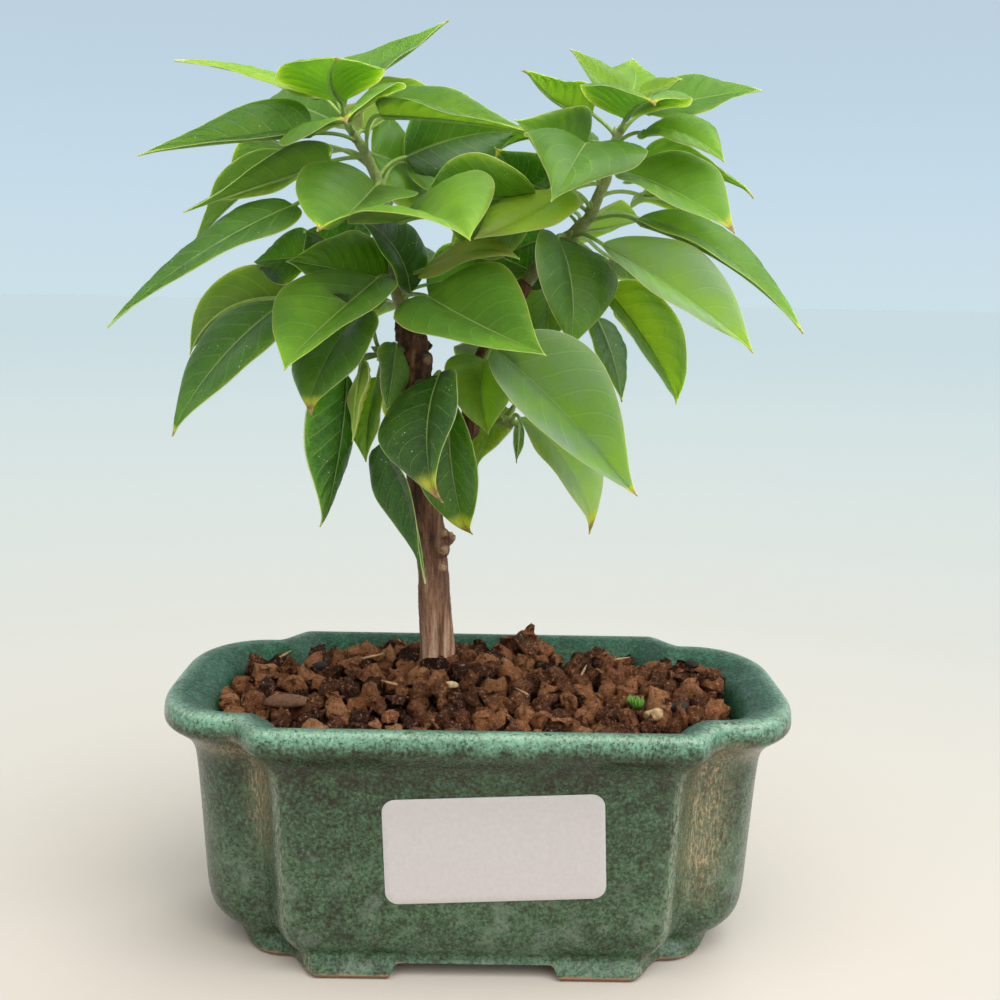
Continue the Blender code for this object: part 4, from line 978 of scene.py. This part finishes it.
# The short sprays: the wood that carries one, how far along it, the way it leaves, its length, its leaves.
SPRAYS = {
    "spray_low_left": ("trunk", 0.93, (-0.85, -0.5, 0.1), 5.0, (
        (0.76, 0.9, (-29.6, 4.1, 152), (-42, -11.2, 127.5), 27.8, (-0.62, -0.48, 0.62), 1.8, 2, 0.76, 0.8, 25, 3),
        (0.94, 0.7, (-33.8, 4, 135.7), (-39.3, 1.2, 98), 18.7, (0.76, -0.64, -0.06), 1.4, -24, 0.67, -0.1, 0, 0),
        (0, 0.95, (-29, -3.5, 139.2), (-30.6, -12.3, 120.8), 14.5, (0.96, 0.2, -0.18), -0.4, 3, 0.64, -0.1, 11, 0),
        (0.56, 0.6, (-26.7, 10.2, 134.9), (-29.4, 7.7, 113.7), 16.9, (-0.82, -0.55, 0.17), 1.2, 17, 0.69, -0.3, 7, 0),
        (0.69, 0.95, (-21.7, 0.7, 143.2), (-23.3, -8.6, 127.8), 14.2, (0.85, -0.49, 0.2), 0.2, 5, 0.64, 0, -2, 0),
    )),
    "spray_low_front": ("trunk", 0.86, (0.25, -1.0, 0.1), 5.5, (
        (0.99, 0.9, (-10.7, -7.5, 136.7), (-10.8, -27.4, 109.1), 25.7, (-0.68, -0.6, 0.43), 2.8, 19, 0.71, 0.6, -11, 4),
        (0.97, 0.6, (-24.9, 1.5, 119.5), (-13.9, -7.1, 85.8), 19.6, (-0.86, -0.49, -0.15), -1.5, 25, 0.42, -1.3, -8, 0),
    )),
    "spray_low_back": ("trunk", 0.83, (-0.1, 1.0, 0.2), 6.0, (
        (0.76, 0.9, (-18, 34, 131), (-18, 48, 107), 20, (0, 0.8, 0.5), 3, *USUAL),
        (0.76, 0.8, (-7, 28, 124), (-8, 40, 101), 15, (0.1, 0.8, 0.5), 3, *USUAL),
    )),
    "spray_limb_front": ("limb", 0.7, (0.1, -1.0, 0.2), 5.0, (
        (0.39, 0.88, (0.3, -1, 140), (1.3, -5.4, 122.4), 22.8, (0.07, -0.97, 0.24), 4.4, 37, 0.55, 1.8, -5, 0),
        (1.52, 0.95, (2.3, -10.6, 143.3), (35.2, -24.6, 110.3), 33.4, (0.09, -0.88, 0.46), 0, 44, 0.69, -1.7, -12, 1),
    )),
    "spray_limb_back": ("limb", 0.72, (0.2, 1.0, 0.2), 6.0, (
        (0.86, 0.98, (28.6, 21.9, 150.5), (35.4, 18.1, 129.2), 14.8, (0.71, -0.62, 0.34), 1.4, 7, 0.61, 0.3, 0, 1),
        (0.76, 0.95, (6, 32, 138), (33, 48, 111), 22, (0.2, 0.7, 0.6), 3, *USUAL),
        (0.76, 0.9, (0, 34, 143), (1, 60, 126), 18, (0, 0.7, 0.7), 3, *USUAL),
    )),
    "spray_limb_low": ("limb", 0.4, (1.0, -0.3, 0.5), 8.0, (
        (0.9, 0.45, (-8.1, -8.9, 131.5), (-3.3, -6.9, 97.6), 17.6, (-0.25, -0.96, -0.09), 4, 33, 0.92, 0.6, 4, 4),
        (0.73, 0.62, (6.8, 18.3, 126.8), (-1.8, 19.1, 110.8), 11.6, (-0.54, -0.8, 0.25), 3.4, 12, 0.6, 0.5, 1, 0),
        (0.99, 0.92, (8.9, 8.4, 124.6), (8.2, 7.5, 114.1), 3.2, (0.2, -0.98, 0.07), 0.9, 11, 0.62, -0.1, -1, 0),
        (1.23, 0.78, (8.6, -2.5, 126.4), (26.8, -9.6, 99.8), 18.1, (0.5, -0.69, 0.52), 4.8, 27, 0.9, -0.6, -13, 3),
    )),
}


def point_along(line, share):
    """The point a share of the way along a line."""
    line = np.asarray(line, float)
    marks = np.concatenate([[0], np.cumsum(np.linalg.norm(np.diff(line, axis=0), axis=1))])
    return np.array([np.interp(share * marks[-1], marks, line[:, axis]) for axis in range(3)])


class Leaf:
    """One leaf's row, worked out: its middle line, and the ways across it and up from it."""

    def __init__(self, row, stem, number, phase):
        self.tone, at, base, tip, self.width, facing, self.bow, fold = row[:8]
        self.belly, self.bend, twist, self.dried = row[8:]
        self.number, self.phase = number, phase
        self.bloom, self.tone = divmod(self.tone, 1.0)
        self.twist = math.radians(twist)
        self.root = point_along(stem, at)
        self.heading = point_along(stem, min(at + 0.05, 1)) - point_along(stem, max(at - 0.05, 0))
        self.base, self.tip = np.array(base, float), np.array(tip, float)
        self.chord = self.tip - self.base
        self.length = np.linalg.norm(self.chord)
        along = self.chord / self.length
        normal = np.array(facing, float)
        normal -= along * (normal @ along)
        self.normal = normal / np.linalg.norm(normal)
        self.side = np.cross(along, self.normal)
        self.fold = math.radians(fold)
        draw = np.random.default_rng(500 + number)
        self.droop = TIP_DROOPS[self.dried] * draw.uniform(0.6, 1.2)
        self.hook = draw.uniform(-TIP_HOOK, TIP_HOOK)

    def rib(self, t):
        """Points on the middle line at shares t of the blade's length, with the ways across and up there."""
        t = np.asarray(t, float)[:, None]
        end = np.clip(t - 0.86, 0, None) ** 2
        points = (
            self.base + self.chord * t + self.normal * (4 * self.bow * t * (1 - t) - self.droop * end)
            + self.side * (4 * self.bend * t * (1 - t) + self.hook * end)
        )
        run = self.chord + self.normal * (4 * self.bow * (1 - 2 * t))
        up = np.cross(self.side, run)
        up /= np.linalg.norm(up, axis=1)[:, None]
        up *= np.where((up @ self.normal) < 0, -1, 1)[:, None]
        turn = self.twist * (t - 0.25)
        across = self.side * np.cos(turn) + up * np.sin(turn)
        return points, across, up * np.cos(turn) - self.side * np.sin(turn)

    def half(self, t):
        """Half the blade's width at shares t of its length: egg-shaped, with a drawn-out tip."""
        share = np.sin(math.pi * np.minimum(t, 1.0) ** self.belly).clip(0) ** (0.85 + 0.36 * t)
        return np.maximum(self.width / 2 * share, 0.16), share


stalks_tree, inlet, outlet = node_group(
    "GeometryNodeTree", "round_stalks", {"Lines": "Geometry", "Sides": "Int"}, {"Stalks": "Geometry"}
)
t = stalks_tree
curve = node(t, "GeometryNodeMeshToCurve", {"Mesh": inlet.outputs["Lines"]})
girth = node(t, "GeometryNodeInputNamedAttribute", {"Name": "girth"}, data_type="FLOAT")
ring = node(t, "GeometryNodeCurvePrimitiveCircle", {"Resolution": inlet.outputs["Sides"], "Radius": MM})
skinned = node(t, "GeometryNodeCurveToMesh", {
    "Curve": curve.outputs[0], "Profile Curve": ring.outputs[0], "Scale": girth.outputs[0], "Fill Caps": True,
})
soft = node(t, "GeometryNodeSetShadeSmooth", {"Geometry": skinned.outputs[0]})
realized = node(t, "GeometryNodeRealizeInstances", {0: soft.outputs[0]})
stalks_finished = node(t, "GeometryNodeSetMaterial", {"Geometry": realized.outputs[0]})
t.links.new(stalks_finished.outputs[0], outlet.inputs[0])

green_stem, tree, shader, coords = new_material("green_stem")
woodiness = attribute(tree, "woodiness")
mark = mottled(tree, coords, 500.0)
stalk_green = tint(tree, ease(tree, mark, 0.38, 0.62), (0.230, 0.350, 0.055), (0.340, 0.470, 0.120))
stem_olive = tint(tree, ease(tree, mark, 0.38, 0.62), (0.170, 0.160, 0.050), (0.300, 0.290, 0.110))
paint(tree, shader, tint(tree, woodiness, stalk_green, stem_olive), 0.48)
shader.inputs["Subsurface Weight"].default_value = 0.4
shader.inputs["Subsurface Scale"].default_value = 0.002
shader.inputs["Subsurface Radius"].default_value = (0.7, 1.0, 0.25)
bump(tree, shader, grain(tree, coords, 1500.0, 3.0), 0.0002)
stalks_finished.inputs["Material"].default_value = green_stem


def stalk_lines(stem, stem_radii, leaves):
    """Lines, girths and woodiness of a stem, its stalks with their midribs, and its buds."""
    lines = []
    path = np.array([point_along(curved(stem), share) for share in np.linspace(0, 1, STEM_POINTS)])
    girth = np.linspace(*stem_radii, STEM_POINTS)
    marks = np.array([math.sin(i * 12.9898) for i in range(STEM_POINTS)])
    for leaf in leaves:
        near = np.linalg.norm(path - leaf.root, axis=1)
        girth = girth + 0.12 * np.exp(-(near / 1.1) ** 2)
    girth[-4:] *= (0.9, 0.75, 0.55, 0.25)
    girth = girth.clip(0, stem_radii[0] * 1.12) * (1 + 0.03 * marks)
    lines.append((path, girth, np.linspace(1, 0.35, STEM_POINTS)))
    for leaf in leaves:
        out = leaf.base - leaf.root
        reach = np.linalg.norm(out)
        heading = leaf.heading / np.linalg.norm(leaf.heading)
        first = leaf.root + (out / reach * 0.6 + heading * 0.5) * reach * 0.35
        second = leaf.base - leaf.chord / leaf.length * reach * 0.32 - leaf.normal * 0.4
        t = np.linspace(0, 1, STALK_POINTS)
        s = t[:, None]
        bend = (
            (1 - s) ** 3 * leaf.root + 3 * (1 - s) ** 2 * s * first
            + 3 * (1 - s) * s * s * second + s ** 3 * leaf.base
        )
        grown = min(leaf.width / GROWN_WIDTH, 1.0)
        swollen, slim, neck = STALK_RADII
        thick = np.interp(t, (0, 0.16, 0.8, 1), (swollen, slim, slim, neck))
        rib, _, up = leaf.rib(np.linspace(0.03, 0.96, RIB_POINTS))
        rib_girth = np.linspace(*MIDRIB_RADII, RIB_POINTS)
        rib = rib - up * (0.16 + rib_girth)[:, None]
        lines.append((
            np.vstack([bend, rib]),
            np.concatenate([thick, rib_girth]) * (0.55 + 0.45 * grown),
            np.concatenate([np.interp(t, (0, 0.3), (0.45, 0.0)), np.zeros(RIB_POINTS)]),
        ))
        if grown > 0.75:
            way = out / reach + heading * 1.1
            way /= np.linalg.norm(way)
            bud = leaf.root + way * np.linspace(0.6, 3.4, 7)[:, None]
            lines.append((bud, np.array([0.5, 0.75, 0.85, 0.8, 0.62, 0.38, 0.1]), np.full(7, 0.15)))
    return lines


def grow_stalks(name, lines, sides):
    """The lines as round stalks: a plain mesh."""
    mesh = bpy.data.meshes.new(name)
    points, edges, count = [], [], 0
    for path, _, _ in lines:
        points.append(path)
        edges += [(count + i, count + i + 1) for i in range(len(path) - 1)]
        count += len(path)
    mesh.from_pydata(placed(np.vstack(points)).tolist(), edges, [])
    store(mesh, "girth", np.concatenate([line[1] for line in lines]))
    store(mesh, "woodiness", np.concatenate([line[2] for line in lines]))
    made = bpy.data.objects.new(name, mesh)
    bpy.context.scene.collection.objects.link(made)
    skin = made.modifiers.new("skin", "NODES")
    skin.node_group = stalks_tree
    for item in stalks_tree.interface.items_tree:
        if item.name == "Sides":
            skin[item.identifier] = sides
    plain(made)
    return made


# Leaf blades: thin egg-shaped blades with a drawn-out tip, folded a little along the midrib, puckered
# between the side veins and gently waved at the edge. Young ones are yellow-green, old ones dark, and each
# leaf's tone also holds painted shade and light for where it sits.
BLADE_ROWS = 40
BLADE_COLUMNS = 18
BLADE_THICKNESS = 0.42
SIDE_VEINS = 8.0
PUCKER = 0.30
DRIED_SHARES = (0.0, 0.05, 0.10, 0.14, 0.20)  # of the blade, by the last number of its row


def blade(leaf):
    """Points, faces and values of one blade: a closed skin, its upper side first."""
    draw = np.random.default_rng(1000 + leaf.number)
    steps = np.linspace(0, 1, BLADE_ROWS + 1)
    t = 0.55 * steps + 0.45 * (0.5 - 0.5 * np.cos(math.pi * steps))
    s = np.linspace(-1, 1, BLADE_COLUMNS + 1)
    u = np.sign(s) * np.abs(s) ** 1.1
    rib, across, up = leaf.rib(t)
    half, share = leaf.half(t)
    T, U = np.meshgrid(t, u, indexing="ij")
    away = np.abs(U)
    wave = 0.5 * np.sin(7 * t + leaf.phase) * share
    frill = draw.uniform(0.2, 0.5) * np.sin(draw.uniform(13, 18) * T + draw.uniform(0, 6) + 1.5 * np.sign(U))
    frill *= share[:, None]
    crease = (np.sqrt(U ** 2 + 0.006) - math.sqrt(0.006)) / (math.sqrt(1.006) - math.sqrt(0.006))
    offset = np.where(U > 0, 0.45, 0.0) + draw.uniform(0, 0.5)
    course = (T - 0.17 * away - 0.08 * away ** 2) * SIDE_VEINS + offset
    pucker = -PUCKER * np.cos(2 * math.pi * course) * (away * (1 - away ** 3) * 1.6)
    pucker *= np.sin(math.pi * T.clip(0, 1)) ** 0.5
    arch = 0.13 * half[:, None] * np.sin(math.pi * away) * draw.uniform(0.4, 1.3)
    sag = 0.10 * half[:, None] * np.sin(draw.uniform(3, 6) * T + draw.uniform(0, 6)) * U
    lift = (
        half[:, None] * math.sin(leaf.fold) * crease - wave[:, None] * U * away + frill * away ** 3
        + pucker + arch + sag * away - 0.7 * away ** 6 * share[:, None]
    )
    top = (
        rib[:, None, :] + across[:, None, :] * (half[:, None] * U * math.cos(leaf.fold))[..., None]
        + up[:, None, :] * lift[..., None]
    )
    thick = BLADE_THICKNESS * (1 - 0.8 * away ** 8) * min(leaf.width / 18, 1.0)
    under = top - up[:, None, :] * thick[..., None]
    wide = BLADE_COLUMNS + 1
    count = (BLADE_ROWS + 1) * wide
    faces = []
    for row in range(BLADE_ROWS):
        for column in range(BLADE_COLUMNS):
            a = row * wide + column
            faces.append((a, a + 1, a + wide + 1, a + wide))
            faces.append((a + count, a + wide + count, a + wide + 1 + count, a + 1 + count))
    rim = (
        list(range(wide)) + [row * wide + wide - 1 for row in range(1, BLADE_ROWS + 1)]
        + [BLADE_ROWS * wide + column for column in range(wide - 2, -1, -1)]
        + [row * wide for row in range(BLADE_ROWS - 1, 0, -1)]
    )
    for a, b in zip(rim, rim[1:] + rim[:1]):
        faces.append((b, a, a + count, b + count))
    tone = leaf.tone + draw.uniform(-0.03, 0.03)
    reach = DRIED_SHARES[leaf.dried] + 0.02
    dry = np.clip((T - 1 + reach) / reach, 0, 1) * (0.25 if leaf.dried == 0 else 1.0)
    values = {
        "across": half[:, None] * U, "to_edge": half[:, None] * (1 - away), "course": course,
        "along": T, "tone": tone * np.ones_like(T), "dry": dry, "bloom": leaf.bloom * np.ones_like(T),
    }
    values = {key: np.concatenate([value.ravel()] * 2) for key, value in values.items()}
    values["under"] = np.concatenate([np.zeros(count), np.ones(count)])
    return np.vstack([top.reshape(-1, 3), under.reshape(-1, 3)]), faces, values


# Leaf skin: smooth and waxy, darker with age and with painted shade, paler below, yellowing and withered
# where a tip has dried, and on a few leaves a pale bluish painted sheen.
# Raised pale veins run through it: a midrib, side veins, the net between them, and a pale margin.
veins, inlet, outlet = node_group(
    "ShaderNodeTree", "leaf_veins",
    {"Across": "Float", "To Edge": "Float", "Course": "Float", "Along": "Float", "Coords": "Vector"},
    {"Midrib": "Float", "Side Veins": "Float", "Margin": "Float", "Net": "Float", "Height": "Float"},
)
off_rib = maths(veins, "ABSOLUTE", inlet.outputs["Across"])
rib_half = ease(veins, inlet.outputs["Along"], 0.0, 1.0, 0.42, 0.08)
midrib = rest_of(veins, ease(veins, maths(veins, "DIVIDE", off_rib, rib_half), 0.35, 1.0))
wander = grain(veins, inlet.outputs["Coords"], 170.0, 2.0)
path = maths(veins, "MULTIPLY_ADD", wander, 0.16, inlet.outputs["Course"])
step = maths(veins, "ABSOLUTE", maths(veins, "SUBTRACT", maths(veins, "FRACT", path), 0.5))
side_vein = rest_of(veins, ease(veins, step, 0.010, 0.065))
side_vein = times(veins, side_vein, ease(veins, inlet.outputs["To Edge"], 0.3, 2.5))
margin = rest_of(veins, ease(veins, inlet.outputs["To Edge"], 0.02, 0.26))
inputs = {"Vector": inlet.outputs["Coords"], "Scale": 700.0}
cells = node(veins, "ShaderNodeTexVoronoi", inputs, feature="DISTANCE_TO_EDGE")
net = rest_of(veins, ease(veins, cells.outputs["Distance"], 0.0, 0.10))
height = maths(veins, "MAXIMUM", midrib, times(veins, side_vein, 0.6))
height = rest_of(veins, maths(veins, "MAXIMUM", height, times(veins, net, 0.10)))
for socket, value in zip(outlet.inputs, (midrib, side_vein, margin, net, height)):
    veins.links.new(value, socket)

leaf_green, tree, shader, coords = new_material("leaf_green")
vein = node(tree, "ShaderNodeGroup", node_tree=veins)
for label, name in (("Across", "across"), ("To Edge", "to_edge"), ("Course", "course"), ("Along", "along")):
    tree.links.new(attribute(tree, name), vein.inputs[label])
tree.links.new(coords, vein.inputs["Coords"])
patch = grain(tree, coords, 75.0, 4.0, 0.6)
# The tone darkens a leaf with age and with painted shade, and lightens it as painted light, leaf by leaf.
tone = maths(tree, "MULTIPLY_ADD", maths(tree, "SUBTRACT", patch, 0.5), 0.45, attribute(tree, "tone"))
tone = maths(tree, "SUBTRACT", tone, ease(tree, attribute(tree, "along"), 0.55, 1.0, 0.0, 0.16))
upper = ramp(tree, tone, (
    (0.00, (0.250, 0.270, 0.050)), (0.18, (0.225, 0.375, 0.022)), (0.36, (0.132, 0.262, 0.022)),
    (0.54, (0.074, 0.165, 0.018)), (0.74, (0.044, 0.108, 0.015)), (0.88, (0.026, 0.065, 0.009)),
    (1.00, (0.012, 0.032, 0.005)),
))
lower = ramp(tree, tone, (
    (0.08, (0.260, 0.420, 0.050)), (0.45, (0.118, 0.200, 0.034)),
    (0.80, (0.056, 0.100, 0.018)), (1.00, (0.028, 0.050, 0.008)),
))
under = attribute(tree, "under")
colour = tint(tree, times(tree, vein.outputs["Net"], 0.06), upper, (0.25, 0.36, 0.12))
colour = tint(tree, under, colour, lower)
# A pale bluish painted sheen on the leaves that carry it, in place of sky reflected in their surface.
bloom = times(tree, attribute(tree, "bloom"), ease(tree, patch, 0.35, 0.62, 0.10, 0.30))
colour = tint(tree, bloom, colour, (0.26, 0.30, 0.34))
pale = tint(tree, 0.55, colour, (0.33, 0.45, 0.13))
colour = tint(tree, times(tree, vein.outputs["Side Veins"], 0.24), colour, pale)
colour = tint(tree, times(tree, vein.outputs["Midrib"], 0.75), colour, (0.30, 0.42, 0.12))
colour = tint(tree, times(tree, vein.outputs["Margin"], 0.68), colour, (0.42, 0.50, 0.14))
specks = node(tree, "ShaderNodeTexVoronoi", {"Vector": coords, "Scale": 1100.0})
dots = rest_of(tree, ease(tree, specks.outputs["Distance"], 0.10, 0.26))
spread = ease(tree, grain(tree, coords, 230.0, 3.0), 0.56, 0.68)
older = ease(tree, attribute(tree, "tone"), 0.45, 0.85)
chalk = times(tree, times(tree, dots, spread), times(tree, older, rest_of(tree, under)))
colour = tint(tree, times(tree, chalk, 0.55), colour, (0.62, 0.70, 0.60))
dry = maths(tree, "MULTIPLY_ADD", maths(tree, "SUBTRACT", patch, 0.5), 0.6, attribute(tree, "dry"))
colour = tint(tree, ease(tree, dry, 0.05, 0.45), colour, (0.36, 0.37, 0.035))
withered = ramp(tree, grain(tree, coords, 600.0), ((0.35, (0.115, 0.045, 0.014)), (0.65, (0.42, 0.245, 0.105))))
colour = tint(tree, ease(tree, dry, 0.50, 0.70), colour, withered)
tree.links.new(colour, shader.inputs["Base Color"])
gloss = maths(tree, "MULTIPLY_ADD", under, 0.22, ease(tree, patch, 0.3, 0.7, 0.38, 0.48))
gloss = maths(tree, "MULTIPLY_ADD", chalk, 0.3, gloss)
tree.links.new(gloss, shader.inputs["Roughness"])
shader.inputs["Specular IOR Level"].default_value = 0.40
shader.inputs["Subsurface Weight"].default_value = 0.7
shader.inputs["Subsurface Scale"].default_value = 0.003
shader.inputs["Subsurface Radius"].default_value = (0.7, 1.0, 0.25)
bump(tree, shader, vein.outputs["Height"], 0.00012, 0.7)


def grow_blades(name, leaves):
    """A shoot's blades as one object."""
    made = [blade(leaf) for leaf in leaves]
    grown = add_mesh(name, *joined([(points, faces) for points, faces, _ in made]), outward=False)
    for key in made[0][2]:
        store(grown.data, key, np.concatenate([values[key] for _, _, values in made]))
    grown.data.materials.append(leaf_green)
    grown.data.set_sharp_from_angle(angle=math.radians(60))
    return grown


shoots = [
    ("shoot_left", [TRUNK_LINE[-1]] + list(LEFT_SHOOT_LINE), CROWN_RADII, LEFT_LEAVES),
    ("shoot_right", [LIMB_LINE[-1]] + list(RIGHT_SHOOT_LINE), CROWN_RADII, RIGHT_LEAVES),
]
old_wood = {"trunk": ((TRUNK_ROOT,) + TRUNK_LINE[1:], TRUNK_RADII), "limb": (LIMB_LINE, LIMB_RADII)}
for name, (carrier, at, direction, length, rows) in SPRAYS.items():
    line, radii = old_wood[carrier]
    middle = point_along(line, at)
    marks = np.cumsum([0] + [math.dist(a, b) for a, b in zip(line, line[1:])])
    radius = float(np.interp(at * marks[-1], marks, radii))
    way = point_along(line, min(at + 0.03, 1)) - point_along(line, at - 0.03)
    way /= np.linalg.norm(way)
    direction = np.array(direction, float)
    direction -= way * (direction @ way)
    direction /= np.linalg.norm(direction)
    start = middle + direction * (radius + 0.5)
    shoots.append((name, [start - direction * 1.2, start, start + direction * length], SPRAY_RADII, rows))
for shoot, (name, line, radii, rows) in enumerate(shoots):
    stem = line if name.startswith("shoot") else line[1:]
    leaves = [Leaf(row, stem, 100 * shoot + place, 1.7 * place) for place, row in enumerate(rows)]
    stalks = grow_stalks(name + "_stalks", stalk_lines(line, radii, leaves), STALK_SIDES)
    blades = grow_blades(name + "_blades", leaves)
    for piece in (stalks, blades):
        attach(piece, "root")
        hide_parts(name)


# Label: a blank, white, self-adhesive paper label with rounded corners, stuck a little askew on the front
# of the pot.
LABEL_SIZE = (50.0, 25.0)
LABEL_CORNER = 3.0
LABEL_CENTRE = (4.1, 32.3)
LABEL_TILT = math.radians(2.6)
LABEL_LEVELS = (  # distance from the wall, inset from the edge
    (0.10, 0.0), (0.26, 0.0), (0.32, 0.12), (0.33, 1.5), (0.33, 4.0), (0.33, 7.0),
)
outline = []
for corner, (sx, sz) in enumerate(((1, 1), (-1, 1), (-1, -1), (1, -1))):
    for step in range(9):
        turn = math.pi / 2 * (corner + step / 8)
        outline.append((sx * (LABEL_SIZE[0] / 2 - LABEL_CORNER) + LABEL_CORNER * math.cos(turn),
                        sz * (LABEL_SIZE[1] / 2 - LABEL_CORNER) + LABEL_CORNER * math.sin(turn)))
rings = []
for lift, inset in LABEL_LEVELS:
    ring = []
    for u, v in outline:
        u, v = u - math.copysign(inset, u), v - math.copysign(inset, v)
        x = LABEL_CENTRE[0] + u * math.cos(LABEL_TILT) - v * math.sin(LABEL_TILT)
        z = LABEL_CENTRE[1] + u * math.sin(LABEL_TILT) + v * math.cos(LABEL_TILT)
        wall = LIP_HALF_DEPTH - np.interp(z, heights, [level[2] for level in OUTER_LEVELS])
        ring.append((x, -wall - lift, z))
    rings.append(np.array(ring))
label = add_mesh("paper_label", *loft(rings))
label.data.set_sharp_from_angle(angle=math.radians(40))
paper, tree, shader, coords = new_material("white_paper")
fibres = grain(tree, coords, 900.0, 5.0, 0.7)
white = tint(tree, ease(tree, fibres, 0.3, 0.7), (0.458, 0.420, 0.405), (0.494, 0.458, 0.445))
paint(tree, shader, white, 0.42)
bump(tree, shader, maths(tree, "MULTIPLY_ADD", grain(tree, coords, 60.0, 2.0), 4.0, fibres), 0.00006)
label.data.materials.append(paper)
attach(label, "root")
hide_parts("blank_label")
